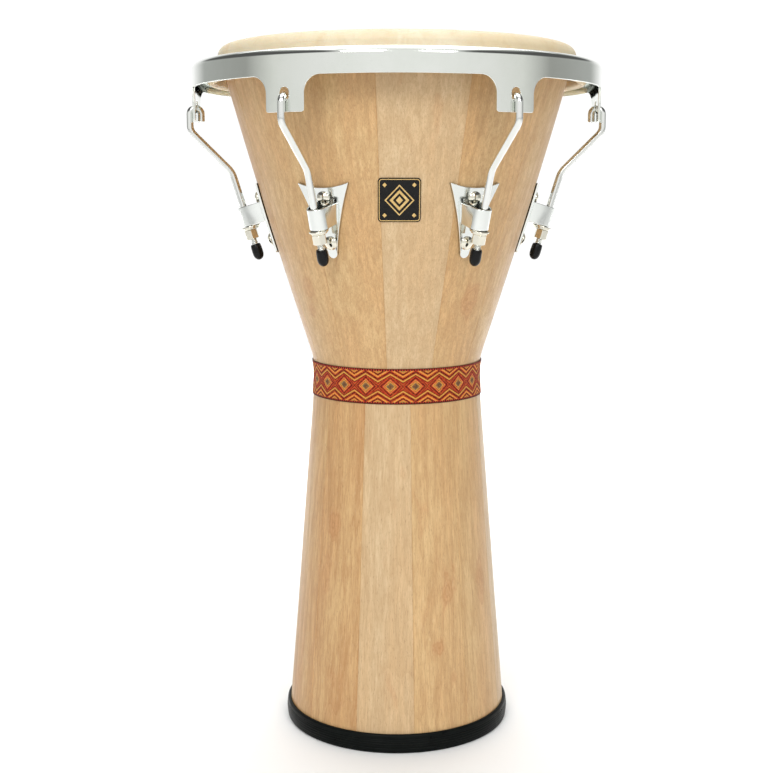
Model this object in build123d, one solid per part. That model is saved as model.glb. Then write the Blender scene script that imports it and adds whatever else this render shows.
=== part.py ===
from build123d import *
import math
import os

os.makedirs("parts", exist_ok=True)

# ---------------------------------------------------------------------------
# Stave-built djembe with a 12-1/2 inch head, six hook rods and a rounded rim.
# Millimetres, +Z up, origin on the axis at the underside of the foot ring,
# front (the badge) faces -Y.  Azimuth a points along (sin a, -cos a).
# ---------------------------------------------------------------------------

# ---- shell ----------------------------------------------------------------
WALL = 11.5                 # stave thickness, square to the surface
FOOT_BASE = 3.0             # rubber under the end grain
JOINT_Z = 326.8             # glue joint between stem and bowl, at the waist
STAVE_ARC = 30.0            # twelve staves in each half
BOWL_FIRST = -37.5          # azimuth of the first bowl stave's left edge
STEM_FIRST = -52.0          # azimuth of the first stem stave's left edge
STEM_FOOT_R = 102.8         # outside radius at the end grain
STEM_TOP_R = 76.9           # outside radius at the glue joint
BOWL_A = (83.5, 363.5)      # the bowl's long, very slightly bulged flare
BOWL_M = (123.9, 493.5)
BOWL_B = (158.1, 612.5)
EDGE_TOP = 621.0            # bearing edge

# ---- head -----------------------------------------------------------------
SKIN = 1.3
HOOP_R = 165.9              # flesh hoop centreline radius
HOOP_Z = 593.0
HOOP_WIRE = 2.9             # flesh hoop wire radius

# ---- rim ------------------------------------------------------------------
RIM_R = 183.0               # outside radius
RIM_T = 2.5                 # sheet thickness
RIM_LOW = 586.0             # lower edge between the tabs
RIM_TOP = 607.4
RIM_IN = 164.5              # inside face of the inner wall
RIM_LIP = 597.6             # lower edge of the inner wall
RIM_BEND = 6.0
TAB_LOW = 557.6
TAB_HALF = 18.0
TAB_FLARE = 14.0
HOLE_W = 8.6
HOLE_LOW = 566.0
HOLE_HIGH = 577.2

# ---- lugs -----------------------------------------------------------------
LUGS = (-150.0, -90.0, -30.0, 30.0, 90.0, 150.0)
ROD_R = 3.175               # quarter-inch rod
SLOPE = math.radians(17.0)  # the shank lies parallel to the bowl
SN, CS = math.sin(SLOPE), math.cos(SLOPE)
SHANK = (140.2, 481.7)      # rod axis where it enters the loop
HOOK_C = (181.85, 564.9)    # centre of the hook's bend
HOOK_R = 5.1
ROD_BEND_1 = (HOOK_C[0] + HOOK_R, 550.0)
ROD_BEND_2_Z = 513.0
ROD_END = -46.0             # along the shank, from SHANK
LOOP_H = 18.0               # height of the strap loop, along the shank
LOOP_R = 8.75               # its outside radius
LOOP_T = 1.5
LOOP_C = -3.7               # loop centre, from the rod axis
WASHER_GAP = 0.35
WASHER_R = 8.5
WASHER_T = 1.7
WASHER_STEP_R = 7.1
WASHER_STEP_T = 1.5
WASHER_HOLE = 4.75
WASHER_OFF = -1.2
NUT_AF = 11.1
NUT_H = 8.6
NUT_BORE = ROD_R + 0.06
TIP_TOP = -35.2
TIP_END = -50.0
TIP_R = 4.95

# ---- side plates ----------------------------------------------------------
GASKET_T = 1.0
PLATE_T = 2.0
PLATE_TOP = 504.0
PLATE_HALF = 24.8
PLATE_DIP = 4.3
PLATE_LOW = 440.5
BOLT_Z = (491.0, 453.5)
BOLT_R = 3.0
BOLT_HEAD_R = 6.0
BOLT_HEAD_H = 3.6
BOLT_HOLE = 3.2

# ---- badge, band, foot ----------------------------------------------------
BADGE_Z = 489.0
BADGE_W = 35.5
BADGE_H = 36.0
BADGE_T = 1.2
BAND_LOW = 311.1
BAND_HIGH = 342.5
BAND_T = 0.85
FOOT_H = 17.5
FOOT_R = 105.4


def P(r, z):
    return (r, 0.0, z)


def outline(start, *segs):
    """Closed face in the radial plane: (r, z) lines, or arcs given by a
    middle point and an end point."""
    edges = []
    here = start
    for s in segs:
        if len(s) == 2 and not isinstance(s[0], tuple):
            edges.append(Line(P(*here), P(*s)))
            here = s
        else:
            mid, end = s
            edges.append(ThreePointArc(P(*here), P(*mid), P(*end)))
            here = end
    if math.dist(here, start) > 1e-6:
        edges.append(Line(P(*here), P(*start)))
    return make_face(edges)


def ring(face):
    return revolve(face, Axis.Z, 360)


def sector(face, az, arc):
    """Turn a radial face through an arc that starts at azimuth az."""
    return revolve(Rot(0, 0, az - 90) * face, Axis.Z, arc)


def at(az, shape):
    """Place a shape drawn about azimuth 90 (the +X plane) at azimuth az."""
    return Rot(0, 0, az - 90) * shape


def circle3(a, b, c):
    ax, ay = a
    bx, by = b
    cx, cy = c
    d = 2 * (ax * (by - cy) + bx * (cy - ay) + cx * (ay - by))
    ux = ((ax * ax + ay * ay) * (by - cy) + (bx * bx + by * by) * (cy - ay)
          + (cx * cx + cy * cy) * (ay - by)) / d
    uy = ((ax * ax + ay * ay) * (cx - bx) + (bx * bx + by * by) * (ax - cx)
          + (cx * cx + cy * cy) * (bx - ax)) / d
    return ux, uy, math.dist((ux, uy), a)


FC_R, FC_Z, FLARE = circle3(BOWL_A, BOWL_M, BOWL_B)


def flare(z, off=0.0):
    """Point of the bowl's flare at height z, moved off along its normal."""
    r = FC_R + math.sqrt(FLARE * FLARE - (z - FC_Z) ** 2)
    n = ((r - FC_R) / FLARE, (z - FC_Z) / FLARE)
    return (r + n[0] * off, z + n[1] * off), n


def flare_band(z0, z1, off0, off1):
    zm = 0.5 * (z0 + z1)
    a, m, b = flare(z0, off0)[0], flare(zm, off0)[0], flare(z1, off0)[0]
    c, n, d = flare(z1, off1)[0], flare(zm, off1)[0], flare(z0, off1)[0]
    return outline(a, (m, b), c, (n, d))


def save(name, shape):
    export_step(shape, f"parts/{name}.step")


def group(solids):
    return Compound(children=list(solids))


# ---------------------------------------------------------------------------
# Stem staves: straight cone with a slight hollow towards the waist.
# ---------------------------------------------------------------------------
stem_pts = [(STEM_FOOT_R, FOOT_BASE), (93.6, 113.5), (87.2, 193.5),
            (80.8, 273.5), (78.4, 303.5), (STEM_TOP_R, JOINT_Z)]
k = WALL / math.cos(math.atan(0.08))
stem_in = [(r - k, z) for r, z in stem_pts]
stem_face = outline(stem_pts[0], *stem_pts[1:], *reversed(stem_in))
for i in range(12):
    save(f"stem_stave_{i + 1:02d}",
         sector(stem_face, STEM_FIRST + STAVE_ARC * i, STAVE_ARC))

# ---------------------------------------------------------------------------
# Bowl staves: waist, flare and bearing edge, drilled for the side plates.
# ---------------------------------------------------------------------------
in_a, _ = flare(BOWL_A[1], -WALL)
in_m, _ = flare(500.0, -WALL)
in_b, _ = flare(BOWL_B[1], -WALL)
bowl_face = outline(
    (76.8, JOINT_Z),
    (77.0, 334.5),
    ((77.9, 344.0), (80.0, 352.5)),
    BOWL_A,
    (flare(490.0)[0], BOWL_B),
    ((156.1, 618.4), (150.4, EDGE_TOP)),
    (149.6, EDGE_TOP),
    (in_b[0] + 0.25, 618.6),
    in_b,
    (in_m, in_a),
    (68.3, 352.5),
    ((66.3, 344.0), (65.5, 334.5)),
    (65.3, JOINT_Z),
)


def on_flare(az, z, off, shape):
    """Stand a shape on the flare at azimuth az and height z, facing out."""
    (r, zz), n = flare(z, off)
    plane = Plane(origin=(r, 0, zz), x_dir=(0, 1, 0), z_dir=(n[0], 0, n[1]))
    return at(az, plane * shape)


for i in range(12):
    az0 = BOWL_FIRST + STAVE_ARC * i
    stave = sector(bowl_face, az0, STAVE_ARC)
    for lug in LUGS:
        d = (lug - az0) % 360
        if 0 < d < STAVE_ARC:
            for bz in BOLT_Z:
                stave -= on_flare(lug, bz, -WALL / 2, Cylinder(BOLT_HOLE, 40))
    save(f"bowl_stave_{i + 1:02d}", stave)

# ---------------------------------------------------------------------------
# Head: skin over the bearing edge, down the collar and lapped round the hoop.
# ---------------------------------------------------------------------------
hr, hz = HOOP_R, HOOP_Z
r1, r2 = HOOP_WIRE + 0.1, HOOP_WIRE + SKIN


def around(rad, deg):
    t = math.radians(deg)
    return (hr + rad * math.cos(t), hz + rad * math.sin(t))


head_face = outline(
    (0.0, 622.4),
    (150.3, 622.4),
    ((157.5, 619.9), (160.4, 612.2)),
    around(r1, 172),
    (around(r1, 262), around(r1, 352)),
    (around(r1, 30), around(r1, 68)),
    around(r2, 68),
    (around(r2, 20), around(r2, -28)),
    (around(r2, -100), around(r2, -172)),
    (158.9, 611.6),
    ((156.4, 618.75), (150.3, 621.1)),
    (0.0, 621.1),
)
save("head", ring(head_face))
save("flesh_hoop", Pos(0, 0, hz) * Torus(hr, HOOP_WIRE))

# ---------------------------------------------------------------------------
# Rim: one pressed ring of inverted-U section with six hanging tabs.
# ---------------------------------------------------------------------------
q = math.sqrt(0.5)
ro, rb, ri = RIM_R, RIM_BEND, RIM_BEND - RIM_T
zc = RIM_TOP - rb
rim_face = outline(
    (ro, RIM_LOW),
    (ro, zc),
    ((ro - rb + rb * q, zc + rb * q), (ro - rb, RIM_TOP)),
    (RIM_IN + rb, RIM_TOP),
    ((RIM_IN + rb - rb * q, zc + rb * q), (RIM_IN, zc)),
    (RIM_IN, RIM_LIP + 0.8),
    ((RIM_IN + 0.4, RIM_LIP + 0.2), (RIM_IN + RIM_T / 2, RIM_LIP)),
    ((RIM_IN + RIM_T - 0.4, RIM_LIP + 0.2), (RIM_IN + RIM_T, RIM_LIP + 0.8)),
    (RIM_IN + RIM_T, zc),
    ((RIM_IN + rb - ri * q, zc + ri * q), (RIM_IN + rb, RIM_TOP - RIM_T)),
    (ro - rb, RIM_TOP - RIM_T),
    ((ro - rb + ri * q, zc + ri * q), (ro - RIM_T, zc)),
    (ro - RIM_T, RIM_LOW),
)
rim = ring(rim_face)
skirt = outline((ro - RIM_T, TAB_LOW - 1), (ro, TAB_LOW - 1), (ro, RIM_LOW),
                (ro - RIM_T, RIM_LOW))


def YZ(t, z):
    return (0.0, t, z)


f_mid = TAB_FLARE * q
wide = TAB_HALF + TAB_FLARE
flare_z = RIM_LOW - TAB_FLARE
tab_edges = [
    Line(YZ(-TAB_HALF + 2.5, TAB_LOW), YZ(TAB_HALF - 2.5, TAB_LOW)),
    ThreePointArc(YZ(TAB_HALF - 2.5, TAB_LOW),
                  YZ(TAB_HALF - 2.5 + 2.5 * q, TAB_LOW + 2.5 - 2.5 * q),
                  YZ(TAB_HALF, TAB_LOW + 2.5)),
    Line(YZ(TAB_HALF, TAB_LOW + 2.5), YZ(TAB_HALF, flare_z)),
    ThreePointArc(YZ(TAB_HALF, flare_z), YZ(wide - f_mid, flare_z + f_mid),
                  YZ(wide, RIM_LOW)),
    Line(YZ(wide, RIM_LOW), YZ(-wide, RIM_LOW)),
    ThreePointArc(YZ(-wide, RIM_LOW), YZ(-wide + f_mid, flare_z + f_mid),
                  YZ(-TAB_HALF, flare_z)),
    Line(YZ(-TAB_HALF, flare_z), YZ(-TAB_HALF, TAB_LOW + 2.5)),
    ThreePointArc(YZ(-TAB_HALF, TAB_LOW + 2.5),
                  YZ(-TAB_HALF + 2.5 - 2.5 * q, TAB_LOW + 2.5 - 2.5 * q),
                  YZ(-TAB_HALF + 2.5, TAB_LOW)),
]
hw = HOLE_W / 2
hole_edges = [
    Line(YZ(-hw, HOLE_LOW + hw), YZ(-hw, HOLE_HIGH - hw)),
    ThreePointArc(YZ(-hw, HOLE_HIGH - hw), YZ(0, HOLE_HIGH), YZ(hw, HOLE_HIGH - hw)),
    Line(YZ(hw, HOLE_HIGH - hw), YZ(hw, HOLE_LOW + hw)),
    ThreePointArc(YZ(hw, HOLE_LOW + hw), YZ(0, HOLE_LOW), YZ(-hw, HOLE_LOW + hw)),
]
tab_slab = Pos(150, 0, 0) * extrude(make_face(tab_edges), amount=50, dir=(1, 0, 0))
hole_slab = Pos(150, 0, 0) * extrude(make_face(hole_edges), amount=50, dir=(1, 0, 0))
tab = (sector(skirt, 75, 30) & tab_slab) - hole_slab
for lug in LUGS:
    rim += at(lug, tab)
save("rim", rim)

# ---------------------------------------------------------------------------
# Tuning rods: hook through the tab, drop, crank inwards and run parallel to
# the bowl through the loop.
# ---------------------------------------------------------------------------


def shank(u, n=0.0):
    """Point at distance u up the shank and n outwards from its axis."""
    return (SHANK[0] + u * SN + n * CS, SHANK[1] + u * CS - n * SN)


bend2 = (SHANK[0] + (ROD_BEND_2_Z - SHANK[1]) * SN / CS, ROD_BEND_2_Z)
inner_r = HOOK_C[0] - HOOK_R
hook_line = Line(P(inner_r, 557.8), P(inner_r, HOOK_C[1]))
hook_arc = ThreePointArc(P(inner_r, HOOK_C[1]), P(HOOK_C[0], HOOK_C[1] + HOOK_R),
                         P(HOOK_C[0] + HOOK_R, HOOK_C[1]))
lower = FilletPolyline(P(HOOK_C[0] + HOOK_R, HOOK_C[1]), P(*ROD_BEND_1), P(*bend2),
                       P(*shank(ROD_END)), radius=[11.0, 20.0])
rod_path = Wire([hook_line.edge(), hook_arc.edge()] + list(lower.edges()))
rod_start = Plane(origin=P(inner_r, 557.8), z_dir=(0, 0, 1))
rod = sweep(rod_start * Circle(ROD_R), path=rod_path)
rod = chamfer(rod.edges().filter_by(GeomType.CIRCLE).group_by(Axis.Z)[0], 0.8)
hook_end = rod.edges().filter_by(
    lambda e: e.geom_type == GeomType.CIRCLE
    and abs(e.arc_center.Z - 557.8) < 0.05 and abs(e.arc_center.X - inner_r) < 0.05)
rod = chamfer(hook_end, 0.6)

# Shank frame: Z up the shank, X outwards.
shank_plane = Plane(origin=P(*shank(0)), x_dir=(CS, 0, -SN), z_dir=(SN, 0, CS))

# Rubber tip pushed onto the end of the rod.
tip_r = TIP_R
tip_face = outline(
    (ROD_R, TIP_TOP),
    (tip_r - 1.0, TIP_TOP),
    ((tip_r - 0.35, TIP_TOP - 0.5), (tip_r - 0.1, TIP_TOP - 2.0)),
    (tip_r, TIP_TOP - 7.5),
    ((tip_r - 0.12, TIP_TOP - 9.2), (4.4, TIP_END + 4.0)),
    ((4.42 * q, TIP_END + 4.42 - 4.42 * q), (0.0, TIP_END)),
    (0.0, ROD_END),
    (ROD_R - 0.8, ROD_END),
    (ROD_R, ROD_END + 0.8),
)
tip = shank_plane * ring(tip_face)

# Stepped washer and long hex nut.
wt = -LOOP_H - WASHER_GAP
washer = Pos(WASHER_OFF, 0, wt - WASHER_T / 2) * Cylinder(WASHER_R, WASHER_T)
washer = fillet(washer.edges().filter_by(GeomType.CIRCLE), 0.45)
step = Pos(WASHER_OFF, 0, wt - WASHER_T - WASHER_STEP_T / 2) * Cylinder(WASHER_STEP_R, WASHER_STEP_T)
step = chamfer(step.edges().filter_by(GeomType.CIRCLE).group_by(Axis.Z)[0], 0.35)
washer = washer + step
washer -= Pos(WASHER_OFF, 0, wt - 2) * Cylinder(WASHER_HOLE, 20)
washer = shank_plane * washer

nt = wt - WASHER_T - WASHER_STEP_T - 0.1
nut = extrude(Pos(0, 0, nt - NUT_H) * RegularPolygon(NUT_AF / 2, 6, major_radius=False), amount=NUT_H)
nc = NUT_AF / math.sqrt(3)
nut_turn = outline((0, nt), (NUT_AF / 2 - 0.25, nt), (nc + 0.4, nt - 0.85), (nc + 0.4, nt - NUT_H + 0.85),
                   (NUT_AF / 2 - 0.25, nt - NUT_H), (0, nt - NUT_H))
nut = nut & ring(nut_turn)
nut -= Pos(0, 0, nt - NUT_H / 2) * Cylinder(NUT_BORE, NUT_H + 2)
nut = shank_plane * nut

for i, lug in enumerate(LUGS):
    save(f"tuning_rod_{i + 1}", at(lug, rod))
    save(f"rod_tip_{i + 1}", at(lug, tip))
    save(f"washer_{i + 1}", at(lug, washer))
    save(f"lug_nut_{i + 1}", at(lug, nut))

# ---------------------------------------------------------------------------
# Side plates: V-shaped plate bent to the bowl with a strap loop on its face.
# ---------------------------------------------------------------------------


def v_outline(grow):
    h, lo, top = PLATE_HALF + grow, PLATE_LOW - grow, PLATE_TOP + grow
    low_half = 4.4 + grow
    return [
        ThreePointArc(YZ(-h, top), YZ(0, top - PLATE_DIP), YZ(h, top)),
        ThreePointArc(YZ(h, top), YZ(14.5 + grow, 479.0), YZ(low_half, lo + 5.0)),
        ThreePointArc(YZ(low_half, lo + 5.0), YZ(0, lo), YZ(-low_half, lo + 5.0)),
        ThreePointArc(YZ(-low_half, lo + 5.0), YZ(-14.5 - grow, 479.0), YZ(-h, top)),
    ]


def v_piece(grow, off0, off1):
    slab = Pos(90, 0, 0) * extrude(make_face(v_outline(grow)), amount=70, dir=(1, 0, 0))
    return sector(flare_band(430, 515, off0, off1), 70, 40) & slab


gasket = v_piece(-0.4, 0.0, GASKET_T)
plate = v_piece(0.0, GASKET_T, GASKET_T + PLATE_T)

(sr, sz), sn = flare(SHANK[1] - LOOP_H / 2 + 4.0)
stand = (shank(-LOOP_H / 2)[0] - sr) * CS - (shank(-LOOP_H / 2)[1] - sz) * SN
base_n = -(stand - GASKET_T - PLATE_T * 0.35)


def loop_section(u, rad, beta, base):
    b = math.radians(beta)
    c = LOOP_C
    p1 = (c + rad * math.sin(b), rad * math.cos(b))
    tb = p1[1] + (p1[0] - base) * math.tan(b)
    pts = [(base, -tb, u), (p1[0], -p1[1], u), (c + rad, 0, u), (p1[0], p1[1], u), (base, tb, u)]
    return make_face([Line(pts[0], pts[1]), ThreePointArc(pts[1], pts[2], pts[3]),
                      Line(pts[3], pts[4]), Line(pts[4], pts[0])])


strap = loft([loop_section(-LOOP_H, LOOP_R, 5, base_n), loop_section(0, LOOP_R, 17, base_n)])
hollow = loft([loop_section(-LOOP_H - 1, LOOP_R - LOOP_T, 5 - 0.67, base_n - 3),
               loop_section(1, LOOP_R - LOOP_T, 17 + 0.67, base_n - 3)])
strap = shank_plane * (strap - hollow)
plate = plate + strap

dome_c = (BOLT_HEAD_H ** 2 - BOLT_HEAD_R ** 2 - 0.49) / (2 * (BOLT_HEAD_H - 0.7))
dome_a = 0.5 * math.asin(BOLT_HEAD_R / (BOLT_HEAD_H - dome_c))
dome_mid = ((BOLT_HEAD_H - dome_c) * math.sin(dome_a), dome_c + (BOLT_HEAD_H - dome_c) * math.cos(dome_a))
dome = ring(outline((0, 0), (BOLT_HEAD_R, 0), (BOLT_HEAD_R, 0.7),
                    (dome_mid, (0, BOLT_HEAD_H))))
bolt_len = GASKET_T + PLATE_T + WALL + 0.3 + 1.5 + 5.0 + 1.6
bolt_shank = Pos(0, 0, -bolt_len / 2) * Cylinder(BOLT_R, bolt_len)
bolt = dome + bolt_shank
back_washer = Cylinder(7.0, 1.5) - Cylinder(BOLT_R + 0.2, 4)
back_nut = extrude(RegularPolygon(5.0, 6, major_radius=False), amount=2.5, both=True) - Cylinder(BOLT_R + 0.05, 8)

for bz in BOLT_Z:
    plate -= on_flare(90, bz, 0, Cylinder(BOLT_HOLE, 16))
    gasket -= on_flare(90, bz, 0, Cylinder(BOLT_HOLE, 16))

save("side_plates", group(at(lug, plate) for lug in LUGS))
save("plate_gaskets", group(at(lug, gasket) for lug in LUGS))
top_off = GASKET_T + PLATE_T + 0.02
bolts, washers, nuts = [], [], []
for lug in LUGS:
    for bz in BOLT_Z:
        bolts.append(on_flare(lug, bz, top_off, bolt))
        washers.append(on_flare(lug, bz, -WALL - 0.3 - 0.75, back_washer))
        nuts.append(on_flare(lug, bz, -WALL - 0.3 - 1.5 - 2.52, back_nut))
save("plate_bolts", group(bolts))
save("backing_washers", group(washers))
save("backing_nuts", group(nuts))

# ---------------------------------------------------------------------------
# Badge, waist band and foot ring.
# ---------------------------------------------------------------------------
badge_slab = Pos(90, 0, 0) * extrude(
    Plane(origin=(0, 0, BADGE_Z), x_dir=(0, 1, 0), z_dir=(1, 0, 0))
    * RectangleRounded(BADGE_W, BADGE_H, 3.0), amount=70)
badge = sector(flare_band(465, 512, 0.02, BADGE_T), 78, 24) & badge_slab
save("badge", at(0, badge))

bi = [(78.02, BAND_LOW), (77.02, 325.8), (77.02, 330.0), (77.15, 335.0), (77.95, BAND_HIGH)]
bo = [(r + BAND_T, z) for r, z in bi]
save("waist_band", ring(outline(bi[0], *bi[1:], *reversed(bo))))

foot_face = outline(
    (87.9, 1.0),
    ((88.2, 0.3), (88.9, 0.0)),
    (102.9, 0.0),
    ((104.2, 0.5), (104.9, 2.0)),
    ((FOOT_R, 8.5), (104.7, 15.2)),
    ((104.1, 16.9), (102.9, FOOT_H)),
    (101.75, FOOT_H),
    (STEM_FOOT_R + 0.06, FOOT_BASE + 0.5),
    (STEM_FOOT_R + 0.06, FOOT_BASE - 0.02),
    (STEM_FOOT_R - k - 0.06, FOOT_BASE - 0.02),
    (STEM_FOOT_R - k - 0.06, FOOT_BASE + 0.5),
    (90.55, 10.6),
    ((89.5, 11.2), (88.6, 10.4)),
    (87.9, 8.5),
)
save("foot_ring", ring(foot_face))
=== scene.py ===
import math

import bmesh
import bpy
import numpy as np
from mathutils import Matrix, Vector


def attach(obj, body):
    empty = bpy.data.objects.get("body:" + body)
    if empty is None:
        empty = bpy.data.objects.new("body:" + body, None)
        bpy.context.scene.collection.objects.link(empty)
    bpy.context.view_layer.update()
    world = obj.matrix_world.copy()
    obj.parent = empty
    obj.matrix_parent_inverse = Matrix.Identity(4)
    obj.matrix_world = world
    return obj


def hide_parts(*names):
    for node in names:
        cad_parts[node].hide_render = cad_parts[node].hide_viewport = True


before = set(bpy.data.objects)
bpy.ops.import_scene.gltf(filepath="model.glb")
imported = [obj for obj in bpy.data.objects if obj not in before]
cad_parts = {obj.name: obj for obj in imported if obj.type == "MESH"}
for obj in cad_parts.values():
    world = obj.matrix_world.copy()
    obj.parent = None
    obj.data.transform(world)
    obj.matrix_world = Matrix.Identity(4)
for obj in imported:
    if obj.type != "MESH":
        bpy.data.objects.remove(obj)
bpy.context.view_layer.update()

rng = np.random.default_rng(12)
MM = 0.001
SCN = bpy.context.scene

# ---------------------------------------------------------------------------
# Design sizes, millimetres (the CAD part's own)
# ---------------------------------------------------------------------------
WALL = 11.5
JOINT_Z = 326.8
LUGS = (-150.0, -90.0, -30.0, 30.0, 90.0, 150.0)
SLOPE = math.radians(17.0)
SN, CS = math.sin(SLOPE), math.cos(SLOPE)
SHANK = (140.2, 481.7)
ROD_R = 3.175
HOOK_C, HOOK_R = (181.85, 564.9), 5.1
RIM_R, RIM_T, RIM_LOW, RIM_TOP, RIM_IN, RIM_LIP, RIM_BEND = 183.0, 2.5, 586.0, 607.4, 164.5, 597.6, 6.0
TAB_LOW, TAB_HALF, TAB_FLARE = 557.6, 18.0, 14.0
HOLE_W, HOLE_LOW, HOLE_HIGH = 8.6, 566.0, 577.2
GASKET_T, PLATE_T = 1.0, 2.0
BOLT_Z = (491.0, 453.5)


def circle3(a, b, c):
    ax, ay = a
    bx, by = b
    cx, cy = c
    d = 2 * (ax * (by - cy) + bx * (cy - ay) + cx * (ay - by))
    ux = ((ax * ax + ay * ay) * (by - cy) + (bx * bx + by * by) * (cy - ay) + (cx * cx + cy * cy) * (ay - by)) / d
    uy = ((ax * ax + ay * ay) * (cx - bx) + (bx * bx + by * by) * (ax - cx) + (cx * cx + cy * cy) * (bx - ax)) / d
    return ux, uy, math.dist((ux, uy), a)


FC_R, FC_Z, FLARE = circle3((83.5, 363.5), (123.9, 493.5), (158.1, 612.5))


def flare(z, off=0.0):
    r = FC_R + math.sqrt(FLARE * FLARE - (z - FC_Z) ** 2)
    n = ((r - FC_R) / FLARE, (z - FC_Z) / FLARE)
    return (r + n[0] * off, z + n[1] * off), n


def lug_dirs(az):
    a = math.radians(az)
    return Vector((math.sin(a), -math.cos(a), 0)), Vector((math.cos(a), math.sin(a), 0))


def placed(az, pts):
    """Local (radial, tangential, height) points in mm, turned to azimuth az, in metres."""
    a = math.radians(az)
    p = np.asarray(pts, float)
    x = p[:, 0] * math.sin(a) + p[:, 1] * math.cos(a)
    y = -p[:, 0] * math.cos(a) + p[:, 1] * math.sin(a)
    return np.stack([x, y, p[:, 2]], 1) * MM


# ---------------------------------------------------------------------------
# Mesh helpers
# ---------------------------------------------------------------------------
def make(name, verts, faces, mat=None, smooth=True, uv=None):
    me = bpy.data.meshes.new(name)
    me.from_pydata([tuple(v) for v in verts], [], [tuple(f) for f in faces])
    me.validate()
    if uv is not None:
        layer = me.uv_layers.new(name="UVMap")
        co = np.array([uv[l.vertex_index] for l in me.loops], np.float32)
        layer.data.foreach_set("uv", co.ravel())
    me.update()
    o = bpy.data.objects.new(name, me)
    SCN.collection.objects.link(o)
    if mat is not None:
        me.materials.append(mat)
    if smooth:
        me.shade_smooth()
    return o


def weld(o, dist=2e-6, angle=None):
    bm = bmesh.new()
    bm.from_mesh(o.data)
    bmesh.ops.remove_doubles(bm, verts=bm.verts, dist=dist)
    bmesh.ops.recalc_face_normals(bm, faces=bm.faces)
    bm.to_mesh(o.data)
    bm.free()
    o.data.update()
    if angle is not None:
        o.data.set_sharp_from_angle(angle=math.radians(angle))
    return o


def weighted(o):
    m = o.modifiers.new("normals", "WEIGHTED_NORMAL")
    m.keep_sharp = True
    m.weight = 60
    return o


def fillet_loop(pts, seg=5):
    """Round corners of a closed (a, b) loop: each entry is (a, b, radius)."""
    out = []
    n = len(pts)
    for i in range(n):
        p = np.array(pts[i][:2], float)
        r = pts[i][2] if len(pts[i]) > 2 else 0.0
        if r <= 0:
            out.append(tuple(p))
            continue
        a = np.array(pts[i - 1][:2], float) - p
        b = np.array(pts[(i + 1) % n][:2], float) - p
        la, lb = np.linalg.norm(a), np.linalg.norm(b)
        a /= la
        b /= lb
        ang = math.acos(max(-1, min(1, float(a @ b))))
        d = min(r / math.tan(ang / 2), 0.49 * la, 0.49 * lb)
        rr = d * math.tan(ang / 2)
        c = p + (a + b) / np.linalg.norm(a + b) * (rr / math.sin(ang / 2))
        s, e = p + a * d - c, p + b * d - c
        w = math.acos(max(-1, min(1, float(s @ e) / (np.linalg.norm(s) * np.linalg.norm(e) + 1e-12))))
        for k in range(seg + 1):
            t = k / seg
            if w < 1e-6:
                v = s
            else:
                v = (math.sin((1 - t) * w) * s + math.sin(t * w) * e) / math.sin(w)
            out.append(tuple(c + v))
    return out


def subdivide(loop, step):
    """Add points along long edges of a closed loop."""
    out = []
    n = len(loop)
    for i in range(n):
        a, b = np.array(loop[i]), np.array(loop[(i + 1) % n])
        k = max(1, int(math.ceil(np.linalg.norm(b - a) / step)))
        for j in range(k):
            out.append(tuple(a + (b - a) * j / k))
    return out


def lathe(name, loop, mat, seg=192, az0=None, az1=None, angle=40, az_list=None):
    """Turn a closed (r, z) loop about Z, all the way or from az0 to az1 with flat ends."""
    loop = [tuple(p) for p in loop]
    n = len(loop)
    full = az0 is None
    azs = [360.0 * i / seg for i in range(seg)] if full else (az_list or [az0 + (az1 - az0) * i / seg for i in range(seg + 1)])
    verts = []
    for a in azs:
        t = math.radians(a)
        s, c = math.sin(t), math.cos(t)
        verts += [(r * s * MM, -r * c * MM, z * MM) for r, z in loop]
    faces = []
    cols = len(azs)
    for i in range(cols if full else cols - 1):
        j = (i + 1) % cols
        for k in range(n):
            m = (k + 1) % n
            faces.append((i * n + k, j * n + k, j * n + m, i * n + m))
    if not full:
        faces.append(tuple(range(n)))
        faces.append(tuple(reversed(range((cols - 1) * n, cols * n))))
    o = make(name, verts, faces, mat)
    return weld(o, angle=angle)


def local_lathe(loop, seg=48):
    """Verts and faces of a full turn about a local Z axis (mm)."""
    n = len(loop)
    verts, faces = [], []
    for i in range(seg):
        t = 2 * math.pi * i / seg
        verts += [(r * math.cos(t), r * math.sin(t), z) for r, z in loop]
    for i in range(seg):
        j = (i + 1) % seg
        for k in range(n):
            m = (k + 1) % n
            faces.append((i * n + k, j * n + k, j * n + m, i * n + m))
    return np.array(verts), faces


def frame_to(verts, origin, zdir, xdir=(0, 1, 0)):
    """Local verts to (radial, tangential, height) mm with local z along zdir."""
    z = np.array(zdir, float)
    z /= np.linalg.norm(z)
    x = np.array(xdir, float)
    x -= z * (x @ z)
    x /= np.linalg.norm(x)
    y = np.cross(z, x)
    v = np.asarray(verts, float)
    return np.array(origin, float) + v[:, :1] * x + v[:, 1:2] * y + v[:, 2:3] * z


class Bag:
    """Collects verts and faces of several solids for one object."""

    def __init__(self):
        self.v, self.f = [], []

    def add(self, verts, faces):
        base = sum(len(v) for v in self.v)
        self.v.append(np.asarray(verts, float))
        self.f += [tuple(i + base for i in f) for f in faces]

    def make(self, name, mat, angle=40):
        o = make(name, np.concatenate(self.v), self.f, mat)
        return weld(o, dist=1e-7, angle=angle)


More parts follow.
